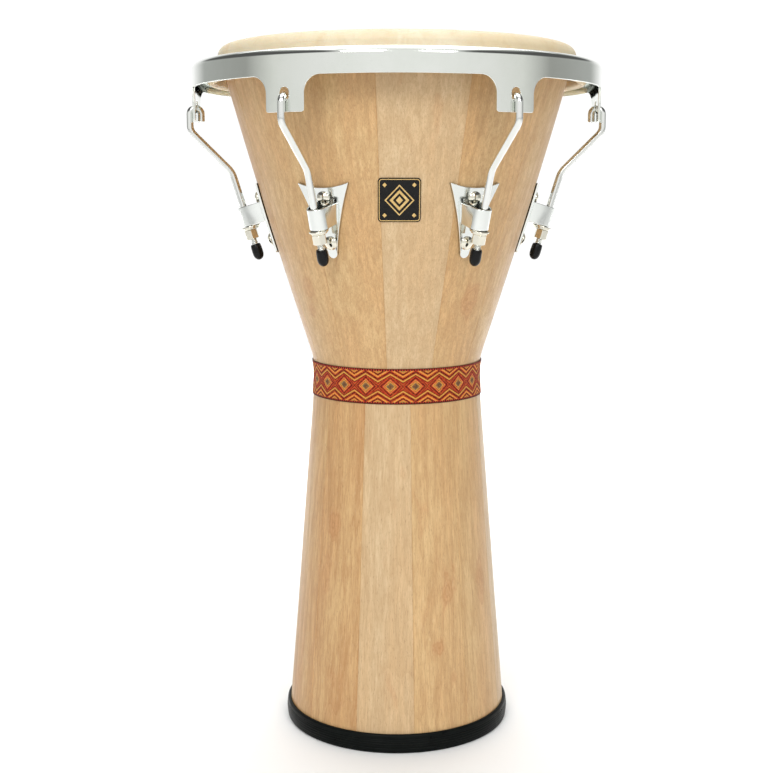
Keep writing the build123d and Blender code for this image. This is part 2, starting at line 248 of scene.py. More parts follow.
def sheet_mesh(outer, holes, thick, bevel, cut_x, cut_y, res=3):
    """A flat plate in (x, y) with rounded edges, cut on a grid so that it can be bent. Returns verts (mm) and faces."""
    cu = bpy.data.curves.new("tmp", "CURVE")
    cu.dimensions = "2D"
    cu.fill_mode = "BOTH"
    cu.extrude = (thick / 2 - bevel) * MM
    cu.bevel_depth = bevel * MM
    cu.bevel_resolution = res
    cu.offset = -bevel * MM
    for loop in [outer] + list(holes):
        sp = cu.splines.new("POLY")
        sp.points.add(len(loop) - 1)
        for i, p in enumerate(loop):
            sp.points[i].co = (p[0] * MM, p[1] * MM, 0, 1)
        sp.use_cyclic_u = True
    ob = bpy.data.objects.new("tmp", cu)
    SCN.collection.objects.link(ob)
    bpy.context.view_layer.update()
    dg = bpy.context.evaluated_depsgraph_get()
    me = bpy.data.meshes.new_from_object(ob.evaluated_get(dg))
    bpy.data.objects.remove(ob)
    bpy.data.curves.remove(cu)
    bm = bmesh.new()
    bm.from_mesh(me)
    bpy.data.meshes.remove(me)
    bmesh.ops.remove_doubles(bm, verts=bm.verts, dist=1e-6)
    for axis, cuts in ((0, cut_x), (1, cut_y)):
        for c in cuts:
            no = [0, 0, 0]
            co = [0, 0, 0]
            no[axis], co[axis] = 1, c * MM
            geom = list(bm.verts) + list(bm.edges) + list(bm.faces)
            bmesh.ops.bisect_plane(bm, geom=geom, dist=1e-8, plane_co=co, plane_no=no)
    bmesh.ops.recalc_face_normals(bm, faces=bm.faces)
    bm.verts.index_update()
    verts = np.array([v.co for v in bm.verts]) / MM
    faces = [tuple(v.index for v in f.verts) for f in bm.faces]
    bm.free()
    return verts, faces


# ---------------------------------------------------------------------------
# Node helpers
# ---------------------------------------------------------------------------
def lin(rgb):
    out = []
    for c in rgb:
        c = c / 255.0 if c > 1 else c
        out.append(c / 12.92 if c <= 0.04045 else ((c + 0.055) / 1.055) ** 2.4)
    return (*out, 1.0)


class Tree:
    def __init__(self, name):
        self.mat = bpy.data.materials.new(name)
        self.mat.use_nodes = True
        self.t = self.mat.node_tree
        self.t.nodes.clear()
        self.out = self.add("ShaderNodeOutputMaterial")
        self.bsdf = self.add("ShaderNodeBsdfPrincipled")
        self.link(self.bsdf.outputs[0], self.out.inputs["Surface"])

    def add(self, kind, **kw):
        n = self.t.nodes.new(kind)
        for k, v in kw.items():
            setattr(n, k, v)
        return n

    def link(self, a, b):
        self.t.links.new(a, b)

    def put(self, sock, v):
        if isinstance(v, bpy.types.NodeSocket):
            self.link(v, sock)
        elif v is not None:
            sock.default_value = v

    def math(self, op, a, b=None, c=None, clamp=False):
        n = self.add("ShaderNodeMath", operation=op, use_clamp=clamp)
        self.put(n.inputs[0], a)
        if b is not None:
            self.put(n.inputs[1], b)
        if c is not None:
            self.put(n.inputs[2], c)
        return n.outputs[0]

    def mix(self, fac, a, b, blend="MIX"):
        n = self.add("ShaderNodeMix", data_type="RGBA", blend_type=blend)
        self.put(n.inputs[0], fac)
        self.put(n.inputs[6], a)
        self.put(n.inputs[7], b)
        return n.outputs[2]

    def ramp(self, fac, stops, interp="LINEAR"):
        n = self.add("ShaderNodeValToRGB")
        n.color_ramp.interpolation = interp
        el = n.color_ramp.elements
        while len(el) < len(stops):
            el.new(0.5)
        for e, (p, c) in zip(el, stops):
            e.position = p
            e.color = c if len(c) == 4 else (*c, 1)
        self.put(n.inputs[0], fac)
        return n.outputs[0]

    def range(self, v, a, b, c, d, smooth=False):
        n = self.add("ShaderNodeMapRange", interpolation_type="SMOOTHSTEP" if smooth else "LINEAR")
        self.put(n.inputs[0], v)
        for i, x in zip((1, 2, 3, 4), (a, b, c, d)):
            n.inputs[i].default_value = x
        return n.outputs[0]

    def mapping(self, vec, loc=(0, 0, 0), rot=(0, 0, 0), scale=(1, 1, 1)):
        n = self.add("ShaderNodeMapping")
        self.link(vec, n.inputs[0])
        n.inputs[1].default_value = loc
        n.inputs[2].default_value = rot
        n.inputs[3].default_value = scale
        return n.outputs[0]

    def noise(self, vec, scale, detail=3.0, rough=0.5, distort=0.0, out=0):
        n = self.add("ShaderNodeTexNoise")
        self.put(n.inputs["Vector"], vec)
        n.inputs["Scale"].default_value = scale
        n.inputs["Detail"].default_value = detail
        n.inputs["Roughness"].default_value = rough
        n.inputs["Distortion"].default_value = distort
        return n.outputs[out]

    def bump(self, height, strength, dist, normal=None):
        n = self.add("ShaderNodeBump")
        n.inputs["Strength"].default_value = strength
        n.inputs["Distance"].default_value = dist
        self.link(height, n.inputs["Height"])
        if normal is not None:
            self.link(normal, n.inputs["Normal"])
        return n.outputs[0]

    def set(self, **kw):
        for k, v in kw.items():
            self.put(self.bsdf.inputs[k.replace("_", " ")], v)
        return self.mat


# ---------------------------------------------------------------------------
# Wood
# ---------------------------------------------------------------------------
def wood(name, az, seed, base, warm, dark, tilt=0.0, pith=(55.0, 6.0), spacing=5.5, ringy=0.4, blotch=0.35, squash=1.0, knots=()):
    """Flat-sawn hardwood under satin lacquer. The stave's middle lies at azimuth az, grain runs up the drum."""
    t = Tree(name)
    tc = t.add("ShaderNodeTexCoord").outputs["Object"]
    turned = t.mapping(tc, rot=(0, 0, math.radians(-(az - 90))))
    rs = np.random.default_rng(seed)
    off = tuple(rs.uniform(-3, 3, 3))
    local = t.mapping(turned, loc=off)
    # slow drift of colour along and across the board
    slow = t.noise(t.mapping(local, scale=(1, 1, 0.10)), 40, 3, 0.5)
    mid = t.noise(t.mapping(local, scale=(1, 1, 0.05)), 190, 4, 0.6, 0.3)
    # growth rings round a pith line behind the board, wandering a little
    wob = t.noise(t.mapping(local, scale=(1, 1, 0.10)), 22, 2, 0.5, out=1)
    wv = t.add("ShaderNodeVectorMath", operation="MULTIPLY_ADD")
    t.link(wob, wv.inputs[0])
    wv.inputs[1].default_value = (0.030, 0.030, 0.0)
    t.link(turned, wv.inputs[2])
    rp = t.mapping(wv.outputs[0], loc=(-pith[0] * MM * squash, pith[1] * MM, 0), rot=(math.radians(tilt * 0.4), math.radians(tilt), 0), scale=(squash, 1, 0.07))
    wave = t.add("ShaderNodeTexWave", wave_type="RINGS", rings_direction="Z", wave_profile="SAW")
    t.link(rp, wave.inputs["Vector"])
    wave.inputs["Scale"].default_value = 0.314 / (spacing * MM)
    wave.inputs["Distortion"].default_value = 1.6
    wave.inputs["Detail"].default_value = 2.0
    wave.inputs["Detail Scale"].default_value = 1.2
    ring = wave.outputs["Fac"]
    # fine straight fibres and open pores
    fine = t.noise(t.mapping(local, scale=(1, 1, 0.022)), 900, 3, 0.65)
    pore_n = t.noise(t.mapping(local, scale=(1, 1, 0.055)), 2300, 2, 0.6)
    pores = t.range(pore_n, 0.60, 0.70, 0.0, 1.0, True)
    # odd warm smudges, as where a small knot or mineral streak comes up
    sm = t.noise(t.mapping(local, scale=(1, 1, 0.30)), 52, 4, 0.62, 0.6)
    smudge = t.range(sm, 0.60, 0.76, 0.0, blotch, True)
    drift = t.range(slow, 0.34, 0.66, 0.0, 1.0, True)
    c = t.mix(drift, base, warm)
    midf = t.range(mid, 0.38, 0.62, 0.0, 0.75, True)
    c = t.mix(midf, c, t.mix(0.55, base, dark))
    ringf = t.math("MULTIPLY", t.range(ring, 0.45, 1.0, 0.0, ringy), t.range(slow, 0.36, 0.56, 0.25, 1.0, True))
    c = t.mix(ringf, c, t.mix(0.75, warm, dark))
    c = t.mix(smudge, c, t.mix(0.5, warm, lin((176, 112, 66))))
    # figure round a small knot: warm patch crossed by wandering contour lines
    if knots:
        sp = t.add("ShaderNodeSeparateXYZ")
        t.link(turned, sp.inputs[0])
        kn = t.noise(t.mapping(local, scale=(1, 1, 0.5)), 46, 4, 0.6, 0.4)
        for y0, z0, rx, rz, amt in knots:
            dy = t.math("DIVIDE", t.math("SUBTRACT", sp.outputs[1], y0 * MM), rx * MM)
            dz = t.math("DIVIDE", t.math("SUBTRACT", sp.outputs[2], z0 * MM), rz * MM)
            dd = t.math("SQRT", t.math("ADD", t.math("MULTIPLY", dy, dy), t.math("MULTIPLY", dz, dz)))
            dd = t.math("ADD", dd, t.math("MULTIPLY_ADD", kn, 3.2, -1.6))
            mask = t.range(dd, 0.25, 1.0, amt, 0.0, True)
            lines = t.math("POWER", t.math("MULTIPLY_ADD", t.math("SINE", t.math("MULTIPLY", dd, 15.0)), 0.5, 0.5), 2.0)
            c = t.mix(t.math("MULTIPLY", mask, 0.75), c, lin((196, 146, 98)))
            c = t.mix(t.math("MULTIPLY", t.math("MULTIPLY", mask, lines), 0.5), c, lin((164, 112, 70)))
    finef = t.range(fine, 0.42, 0.64, 0.0, 0.50)
    c = t.mix(finef, c, dark)
    poref = t.math("MULTIPLY", pores, 0.5)
    c = t.mix(poref, c, lin((132, 92, 54)))
    # a few light flecks
    fl = t.range(t.noise(t.mapping(local, loc=(2, 1, 0), scale=(1, 1, 0.05)), 1400, 2, 0.5), 0.62, 0.72, 0.0, 0.25, True)
    c = t.mix(fl, c, lin((232, 208, 170)))
    rough = t.range(mid, 0.3, 0.7, 0.36, 0.46)
    h = t.math("ADD", t.math("MULTIPLY", fine, 0.6), t.math("MULTIPLY", pores, -0.8))
    n1 = t.bump(h, 0.22, 0.00025)
    lac = t.noise(tc, 60, 2, 0.5)
    n2 = t.bump(lac, 0.05, 0.0015, n1)
    return t.set(Base_Color=c, Roughness=rough, Normal=n2, Coat_Weight=0.12, Coat_Roughness=0.25, Specular_IOR_Level=0.3)


def metal(name, tone=(0.80, 0.822, 0.785), rough=(0.05, 0.13), speck=0.25):
    t = Tree(name)
    tc = t.add("ShaderNodeTexCoord").outputs["Object"]
    film = t.noise(tc, 34, 4, 0.6)
    fine = t.noise(t.mapping(tc, loc=(3, 1, 2)), 420, 3, 0.6)
    c = t.mix(t.range(film, 0.35, 0.7, 0.0, 0.5, True), (*tone, 1), (tone[0] * 0.93, tone[1] * 0.94, tone[2] * 0.92, 1))
    pits = t.range(t.noise(tc, 1500, 1, 0.4), 0.72, 0.80, 0.0, speck, True)
    c = t.mix(pits, c, (0.35, 0.35, 0.33, 1))
    r = t.range(t.math("ADD", t.math("MULTIPLY", film, 0.7), t.math("MULTIPLY", fine, 0.3)), 0.3, 0.7, rough[0], rough[1])
    n = t.bump(fine, 0.03, 0.0002)
    return t.set(Base_Color=c, Metallic=1.0, Roughness=r, Normal=n)


def rubber(name, tone=(0.0024, 0.0032, 0.0030), rough=(0.26, 0.42), spec=0.07):
    t = Tree(name)
    tc = t.add("ShaderNodeTexCoord").outputs["Object"]
    a = t.noise(tc, 90, 4, 0.6)
    b = t.noise(tc, 1600, 3, 0.6)
    dust = t.range(t.noise(tc, 640, 5, 0.75), 0.64, 0.80, 0.0, 0.10, True)
    c = t.mix(t.range(a, 0.3, 0.7, 0, 1), (*tone, 1), (tone[0] * 2.1, tone[1] * 2.1, tone[2] * 2.0, 1))
    c = t.mix(dust, c, (0.075, 0.072, 0.066, 1))
    r = t.range(a, 0.3, 0.7, rough[0], rough[1])
    n = t.bump(b, 0.12, 0.0002)
    return t.set(Base_Color=c, Roughness=r, Normal=n, Specular_IOR_Level=spec)


def skin_mat():
    t = Tree("skin")
    tc = t.add("ShaderNodeTexCoord").outputs["Object"]
    big = t.noise(tc, 9, 4, 0.6, 0.5)
    mid = t.noise(t.mapping(tc, loc=(4, 2, 1)), 42, 5, 0.65, 0.6)
    fibre = t.noise(t.mapping(tc, scale=(1, 0.25, 1)), 700, 4, 0.7, 1.2)
    grain = t.noise(tc, 2600, 3, 0.6)
    c = t.mix(t.range(big, 0.36, 0.66, 0, 1, True), lin((231, 220, 194)), lin((224, 206, 172)))
    c = t.mix(t.range(mid, 0.46, 0.72, 0, 0.5, True), c, lin((214, 190, 150)))
    c = t.mix(t.range(fibre, 0.52, 0.72, 0, 0.22), c, lin((205, 172, 122)))
    # painted shade: the collar is darkened more the lower it goes down under the rim, from 612 mm to 590 mm; the crown
    # and playing face keep their colour
    sep = t.add("ShaderNodeSeparateXYZ")
    t.link(tc, sep.inputs[0])
    # painted shade under the rim: darker towards the bottom of the collar
    low = t.range(sep.outputs[2], 0.590, 0.612, 0.6, 0.0, True)
    c = t.mix(low, c, lin((206, 182, 138)))
    r = t.range(mid, 0.35, 0.65, 0.42, 0.58)
    h = t.math("ADD", t.math("MULTIPLY", grain, 0.5), fibre)
    n = t.bump(h, 0.16, 0.00025)
    n = t.bump(mid, 0.12, 0.0012, n)
    return t.set(Base_Color=c, Roughness=r, Normal=n, Subsurface_Weight=0.18, Subsurface_Radius=(0.004, 0.0022, 0.0012),
                 Subsurface_Scale=0.6, Specular_IOR_Level=0.4)


def band_mat():
    """Jacquard tape: diamonds and zigzags in a 22.2 mm repeat. UV is in millimetres / 100, v from the middle."""
    t = Tree("woven_band")
    uv = t.add("ShaderNodeUVMap", uv_map="UVMap").outputs[0]
    sep = t.add("ShaderNodeSeparateXYZ")
    t.link(uv, sep.inputs[0])
    u = t.math("MULTIPLY", sep.outputs[0], 100.0)
    v = t.math("MULTIPLY", sep.outputs[1], 100.0)
    step = 0.46
    uq = t.math("MULTIPLY", t.math("FLOOR", t.math("DIVIDE", u, step)), step)
    vq = t.math("MULTIPLY", t.math("FLOOR", t.math("DIVIDE", v, step)), step)
    rep = 22.2
    uu = t.math("ABSOLUTE", t.math("SUBTRACT", t.math("MODULO", t.math("ADD", uq, 1000 * rep - 3.9), rep), rep / 2))
    vv = t.math("ABSOLUTE", t.math("ADD", vq, step / 2))
    d = t.math("ADD", vv, t.math("MULTIPLY", uu, 0.92))
    z = t.math("ADD", vv, t.math("MULTIPLY", uu, 0.60))
    maroon, red, crim = lin((56, 5, 4)), lin((188, 36, 22)), lin((160, 20, 40))
    coral, orange, yellow = lin((222, 84, 56)), lin((232, 132, 58)), lin((232, 182, 82))
    olive = lin((164, 150, 70))
    # zigzags
    zr = t.range(z, 6.0, 26.0, 0.0, 1.0)

    def pos(x):
        return (x - 6.0) / 20.0
    zig = t.ramp(zr, [(0.0, coral), (pos(8.6), red), (pos(9.3), maroon), (pos(10.2), orange), (pos(10.6), yellow), (pos(11.3), olive),
                      (pos(11.7), red), (pos(12.4), maroon), (pos(13.6), red), (pos(14.4), orange), (pos(15.2), yellow),
                      (pos(16.0), red), (pos(16.7), maroon), (pos(17.9), orange), (pos(18.9), olive), (pos(19.8), red),
                      (pos(20.9), maroon)], "CONSTANT")
    dr = t.range(d, 0.0, 10.0, 0.0, 1.0)
    dia = t.ramp(dr, [(0.0, lin((40, 62, 56))), (0.22, lin((92, 108, 84))), (0.34, lin((222, 172, 74))), (0.40, orange), (0.47, maroon),
                      (0.52, yellow), (0.58, coral), (0.66, red), (0.72, maroon)], "CONSTANT")
    inside = t.math("LESS_THAN", d, 8.6)
    # checkered core
    chk = t.math("LESS_THAN", t.math("MODULO", t.math("ADD", t.math("DIVIDE", t.math("ADD", uq, 1000 * rep), step), t.math("DIVIDE", t.math("ADD", vq, 100 * step), step)), 2.0), 0.9)
    core = t.math("MULTIPLY", t.math("LESS_THAN", d, 3.6), chk)
    dia = t.mix(t.math("MULTIPLY", core, 0.7), dia, lin((150, 90, 50)))
    c = t.mix(inside, zig, dia)
    cross = t.math("MULTIPLY", t.math("GREATER_THAN", d, 8.6), t.math("LESS_THAN", z, 8.6))
    xs = t.ramp(t.range(d, 8.0, 18.0, 0.0, 1.0), [(0.0, lin((196, 58, 30))), (0.20, maroon), (0.29, lin((206, 84, 40))), (0.40, crim)], "CONSTANT")
    c = t.mix(cross, c, xs)
    # a scatter of single odd threads
    cell = t.add("ShaderNodeCombineXYZ")
    t.link(uq, cell.inputs[0])
    t.link(vq, cell.inputs[1])
    wn = t.add("ShaderNodeTexWhiteNoise", noise_dimensions="2D")
    t.link(cell.outputs[0], wn.inputs["Vector"])
    rnd = wn.outputs["Value"]
    c = t.mix(t.math("MULTIPLY", t.math("GREATER_THAN", rnd, 0.86), 0.45), c, orange)
    c = t.mix(t.math("MULTIPLY", t.math("LESS_THAN", rnd, 0.12), 0.40), c, crim)
    # beaded edge rows and dark selvedge
    bead = t.math("LESS_THAN", t.math("MODULO", t.math("ADD", uq, 1000.0), 2.3), 1.25)
    edge_c = t.mix(bead, maroon, lin((206, 62, 52)))
    c = t.mix(t.math("GREATER_THAN", vv, 13.6), c, edge_c)
    c = t.mix(t.math("GREATER_THAN", vv, 14.95), c, lin((70, 12, 8)))
    # threads: weft ribs along u, warp crossing, each shaded at its edges
    wu = t.math("ABSOLUTE", t.math("SINE", t.math("MULTIPLY", u, math.pi / step)))
    wv = t.math("ABSOLUTE", t.math("SINE", t.math("MULTIPLY", v, math.pi / step)))
    th = t.math("MULTIPLY", t.math("POWER", wu, 0.5), t.math("POWER", wv, 0.5))
    c = t.mix(t.range(th, 0.0, 0.75, 0.42, 0.0), c, lin((60, 14, 8)))
    fuzz = t.noise(uv, 900, 2, 0.5)
    c = t.mix(t.range(fuzz, 0.4, 0.7, 0.0, 0.06), c, lin((240, 190, 130)))
    n = t.bump(th, 0.55, 0.00025)
    return t.set(Base_Color=c, Roughness=0.78, Normal=n, Sheen_Weight=0.06, Sheen_Roughness=0.4, Specular_IOR_Level=0.12)


def enamel(name, tone):
    t = Tree(name)
    tc = t.add("ShaderNodeTexCoord").outputs["Object"]
    a = t.noise(tc, 260, 4, 0.6)
    c = t.mix(t.range(a, 0.3, 0.7, 0, 1), (*tone, 1), tuple(min(1, x * 1.7 + 0.003) for x in tone) + (1,))
    n = t.bump(t.noise(tc, 900, 2, 0.5), 0.04, 0.0003)
    return t.set(Base_Color=c, Roughness=t.range(a, 0.3, 0.7, 0.22, 0.34), Normal=n, Specular_IOR_Level=0.2, Coat_Weight=0.04, Coat_Roughness=0.15)


def brass(name):
    t = Tree(name)
    tc = t.add("ShaderNodeTexCoord").outputs["Object"]
    a = t.noise(tc, 300, 4, 0.6)
    c = t.mix(t.range(a, 0.3, 0.7, 0, 1), (0.78, 0.55, 0.24, 1), (0.60, 0.40, 0.15, 1))
    n = t.bump(t.noise(tc, 1500, 2, 0.5), 0.06, 0.0002)
    return t.set(Base_Color=c, Metallic=1.0, Roughness=t.range(a, 0.3, 0.7, 0.2, 0.34), Normal=n)


def floor_mat():
    t = Tree("floor")
    tc = t.add("ShaderNodeTexCoord").outputs["Object"]
    a = t.noise(tc, 3, 2, 0.5)
    c = t.mix(a, (0.93, 0.93, 0.925, 1), (0.95, 0.95, 0.945, 1))
    return t.set(Base_Color=c, Roughness=0.7, Specular_IOR_Level=0.2)


CHROME = metal("chrome")
CHROME_ROD = metal("rod_chrome", (0.83, 0.84, 0.82), (0.06, 0.15))
CHROME_PLATE = metal("plate_chrome", (0.80, 0.82, 0.80), (0.07, 0.16))
CHROME_HARD = metal("hardware_chrome", (0.82, 0.79, 0.69), (0.05, 0.13))
STEEL = metal("zinc_steel", (0.52, 0.52, 0.50), (0.25, 0.42), 0.4)
RUBBER = rubber("rubber_foot")
RUBBER_TIP = rubber("rubber_tip", (0.0025, 0.0025, 0.0025), (0.20, 0.34), 0.22)
GASKET = rubber("rubber_gasket", (0.004, 0.004, 0.004), (0.55, 0.7), 0.1)
SKIN_M = skin_mat()
BAND_M = band_mat()
BLACK = enamel("badge_black", (0.0022, 0.0020, 0.0018))
GOLD = brass("badge_gold")

PALE, TAN, ORANGE = lin((212, 186, 147)), lin((213, 181, 132)), lin((209, 174, 124))
WARM_P, WARM_T, WARM_O = lin((211, 179, 136)), lin((212, 172, 122)), lin((208, 164, 113))
DARK_P, DARK_T, DARK_O = lin((181, 146, 104)), lin((176, 134, 88)), lin((170, 122, 76))
TONES = {
    "pale": (PALE, WARM_P, DARK_P),
    "tan": (TAN, WARM_T, DARK_T),
    "orange": (ORANGE, WARM_O, DARK_O),
}
BOWL_TONES = ["tan", "pale", "tan", "tan", "pale", "tan", "orange", "pale", "tan", "pale", "orange", "tan"]
BOWL_KNOTS = {2: ((6, 408, 13, 26, 0.75), (-12, 470, 6, 20, 0.4)), 11: ((-1, 412, 12, 24, 0.6),), 1: ((12, 560, 5, 18, 0.35),),
              0: ((-14, 455, 6, 22, 0.35),), 5: ((4, 500, 12, 30, 0.6),), 8: ((-8, 430, 10, 26, 0.6),)}
STEM_KNOTS = {0: ((-8, 200, 9, 17, 0.9), (-14, 150, 7, 26, 0.6), (2, 60, 8, 16, 0.4)), 2: ((9, 140, 12, 26, 0.75), (0, 92, 6, 11, 0.9), (12, 66, 8, 18, 0.5)),
              1: ((14, 250, 5, 12, 0.35),), 3: ((4, 150, 9, 30, 0.6),), 6: ((3, 210, 11, 24, 0.7),), 9: ((-6, 120, 10, 22, 0.7),)}
# board index 3, on the right side, is the darker tan partly for its own hue and partly as painted shade, for the
# falloff towards the silhouette
STEM_TONES = ["orange", "pale", "tan", "tan", "pale", "orange", "pale", "tan", "pale", "tan", "pale", "orange"]

# ---------------------------------------------------------------------------
# Shell staves: each its own board, eased a hair at the glue lines
# ---------------------------------------------------------------------------


def arc_pts(a, m, b, n):
    cx, cy, r = circle3(a, m, b)
    t0, t1, tm = (math.atan2(p[1] - cy, p[0] - cx) for p in (a, b, m))
    for shift in (-2 * math.pi, 0, 2 * math.pi):
        lo, hi = min(t0, t1 + shift), max(t0, t1 + shift)
        for s2 in (-2 * math.pi, 0, 2 * math.pi):
            if lo - 1e-9 <= tm + s2 <= hi + 1e-9 and hi - lo < 2 * math.pi:
                return [(cx + r * math.cos(t0 + (t1 + shift - t0) * i / n), cy + r * math.sin(t0 + (t1 + shift - t0) * i / n)) for i in range(n + 1)]
    return [a, m, b]


def stave(name, outer, inner, az0, mat, nose=()):
    """outer and inner are (r, z) rows of equal count, bottom to top; nose is the extra points over the top."""
    seg = 14
    ease = 0.35  # mm eased off each long edge
    cols = []
    for i in range(seg + 1):
        cols.append((az0 + 30.0 * i / seg, 0.0))
    loop = list(outer) + list(nose) + list(reversed(inner))
    n = len(loop)
    no = len(outer)
    verts, faces = [], []
    rows = []
    # first column: eased corner (outer face set in by ease), then the columns across
    ring_cols = [(az0, ease, 0.0)] + [(az0, 0.0, ease)] + [(a, 0.0, 0.0) for a, _ in cols[1:-1]] + [(az0 + 30, 0.0, -ease)] + [(az0 + 30, ease, 0.0)]
    for a, drop, shift in ring_cols:
        for k, (r, z) in enumerate(loop):
            is_out = k < no + len(nose)
            rr = r - (drop if is_out else 0.0)
            t = math.radians(a) + (shift / r if is_out else 0.0)
            verts.append((rr * math.sin(t) * MM, -rr * math.cos(t) * MM, z * MM))
    cc = len(ring_cols)
    for i in range(cc - 1):
        for k in range(n):
            m = (k + 1) % n
            faces.append((i * n + k, (i + 1) * n + k, (i + 1) * n + m, i * n + m))
    # flat glue faces at both ends as strips between outer and inner rows
    for i in (0, cc - 1):
        strip = []
        for k in range(no - 1):
            a, b = k, k + 1
            c, d = n - 1 - (k + 1), n - 1 - k
            strip.append((i * n + a, i * n + b, i * n + c, i * n + d))
        top = [i * n + j for j in range(no - 1, no + len(nose) + 1)]
        if len(top) > 2:
            strip.append(tuple(top))
        if i == 0:
            strip = [tuple(reversed(f)) for f in strip]
        faces += strip
    o = make(name, verts, faces, mat)
    weld(o, dist=1e-7, angle=32)
    return o


stem_ctrl = [(102.8, 3.0), (93.6, 113.5), (87.2, 193.5), (80.8, 273.5), (78.4, 303.5), (76.9, JOINT_Z)]
zs = np.concatenate([[3.0, 3.4], np.linspace(10, 320, 32), [JOINT_Z - 0.05]])
cz, cr = [p[1] for p in stem_ctrl], [p[0] for p in stem_ctrl]
stem_out = [(float(np.interp(z, cz, cr)) - (0.4 if z == 3.0 else 0.0), float(z)) for z in zs]
kk = WALL / math.cos(math.atan(0.08))
stem_inn = [(float(np.interp(z, cz, cr)) - kk, float(z)) for z in zs]

low = [(76.8, JOINT_Z + 0.05), (76.9, 330.5), (77.0, 334.5)] + arc_pts((77.0, 334.5), (77.9, 344.0), (80.0, 352.5), 8)[1:] + [(81.9, 358.4)]
bowl_out = low + [flare(z)[0] for z in np.linspace(363.5, 612.5, 40)]
inn_low = [(65.3, JOINT_Z + 0.05), (65.4, 330.5), (65.5, 334.5)] + arc_pts((65.5, 334.5), (66.3, 344.0), (68.3, 352.5), 8)[1:]
ia = flare(363.5, -WALL)[0]
inn_low.append(((68.3 + ia[0]) / 2, (352.5 + ia[1]) / 2))
bowl_inn = inn_low + [flare(z, -WALL)[0] for z in np.linspace(363.5, 612.5, 40)]
nose = arc_pts((158.1, 612.5), (156.1, 618.4), (150.4, 621.0), 10)[1:] + [(149.6, 621.0), (flare(612.5, -WALL)[0][0] + 0.25, 618.6)]

for i in range(12):
    az0 = -37.5 + 30 * i
    b, w, d = TONES[BOWL_TONES[i]]
    m = wood(f"bowl_wood_{i + 1:02d}", az0 + 15, 100 + i, b, w, d, tilt=float(rng.uniform(-2.5, 2.5)),
             pith=(float(rng.uniform(20, 60)), float(rng.uniform(-25, 25))), spacing=float(rng.uniform(4.5, 7.5)),
             ringy=float(rng.uniform(0.3, 0.6)), blotch=float(rng.uniform(0.25, 0.55)), squash=0.16, knots=BOWL_KNOTS.get(i, ()))
    name = f"bowl_stave_{i + 1:02d}"
    o = stave("bowl_board_%02d" % (i + 1), bowl_out, bowl_inn, az0, m, nose)
    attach(o, "shell")
    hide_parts(name)
for i in range(12):
    az0 = -52.0 + 30 * i
    b, w, d = TONES[STEM_TONES[i]]
    m = wood(f"stem_wood_{i + 1:02d}", az0 + 15, 300 + i, b, w, d, tilt=float(rng.uniform(-2.0, 2.0)),
             pith=(float(rng.uniform(20, 60)), float(rng.uniform(-20, 20))), spacing=float(rng.uniform(4.5, 7.5)),
             ringy=float(rng.uniform(0.3, 0.6)), blotch=float(rng.uniform(0.25, 0.6)), squash=0.6, knots=STEM_KNOTS.get(i, ()))
    name = f"stem_stave_{i + 1:02d}"
    o = stave("stem_board_%02d" % (i + 1), stem_out, stem_inn, az0, m)
    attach(o, "shell")
    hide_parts(name)

# ---------------------------------------------------------------------------
# Head: skin with the slight waviness of a tucked collar
# ---------------------------------------------------------------------------
HR, HZ, R1, R2 = 165.9, 593.0, 3.0, 4.2


def around(rad, deg):
    a = math.radians(deg)
    return (HR + rad * math.cos(a), HZ + rad * math.sin(a))


top = [(r, 622.4) for r in (4, 20, 45, 70, 95, 115, 130, 140, 146)]
crown_o = arc_pts((150.3, 622.4), (157.5, 619.9), (160.4, 612.2), 14)
col_o = [(160.4 + (162.9 - 160.4) * s, 612.2 + (593.4 - 612.2) * s) for s in (0.2, 0.4, 0.6, 0.8)]
wrap_i = [around(R1, a) for a in np.linspace(172, 428, 26)]
lap = [around(3.6, 70)]
wrap_o = [around(R2, a) for a in np.linspace(68, -172, 26)]
crown_i = arc_pts((158.9, 611.6), (156.4, 618.75), (150.3, 621.1), 12)
under = [(r, 621.1) for r in (146, 140, 130, 115, 95, 70, 45, 20, 4)]
head_loop = top + crown_o + col_o + wrap_i + lap + wrap_o + crown_i + under
SEG = 288
verts, faces = [], []
n = len(head_loop)
for i in range(SEG):
    a = 2 * math.pi * i / SEG
    for k, (r, z) in enumerate(head_loop):
        g = min(1.0, max(0.0, (r - 152) / 8)) * (1.0 if z < 619 else 0.3)
        wav = 0.20 * math.sin(23 * a + 0.7) + 0.16 * math.sin(37 * a + 2.1) + 0.12 * math.sin(61 * a + 0.4) + 0.10 * math.sin(9 * a)
        rr = r + min(0.0, wav - 0.25) * 0.55 * g * (1.0 if z > 600 else 0.35)
        verts.append((rr * math.sin(a) * MM, -rr * math.cos(a) * MM, z * MM))
for i in range(SEG):
    j = (i + 1) % SEG
    for k in range(n - 1):
        faces.append((i * n + k, j * n + k, j * n + k + 1, i * n + k + 1))
ct = len(verts)
verts.append((0, 0, 622.4 * MM))
verts.append((0, 0, 621.1 * MM))
for i in range(SEG):
    j = (i + 1) % SEG
    faces.append((ct, j * n, i * n))
    faces.append((ct + 1, i * n + n - 1, j * n + n - 1))
head = make("drum_skin", verts, faces, SKIN_M)
weld(head, dist=1e-8, angle=60)
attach(head, "shell")
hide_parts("head")

# ---------------------------------------------------------------------------
# Rim: pressed ring with six tabs, one mesh
# ---------------------------------------------------------------------------
q = math.sqrt(0.5)
SPLIT = 594.0


def tab_outline():
    pts = []
    lim = math.radians(30) * RIM_R
    wide = TAB_HALF + TAB_FLARE
    fz = RIM_LOW - TAB_FLARE
    pts.append((-lim, SPLIT))
    pts.append((-lim, RIM_LOW))
    for k in range(15):
        a = math.radians(90 - 90 * k / 14)
        pts.append((-wide + TAB_FLARE * math.cos(a) , fz + TAB_FLARE * math.sin(a)))
    r = 2.5
    for k in range(7):
        a = math.radians(180 + 90 * k / 6)
        pts.append((-TAB_HALF + r + r * math.cos(a), TAB_LOW + r + r * math.sin(a)))
    half = pts[:]
    for x, y in reversed(half):
        pts.append((-x, y))
    return pts


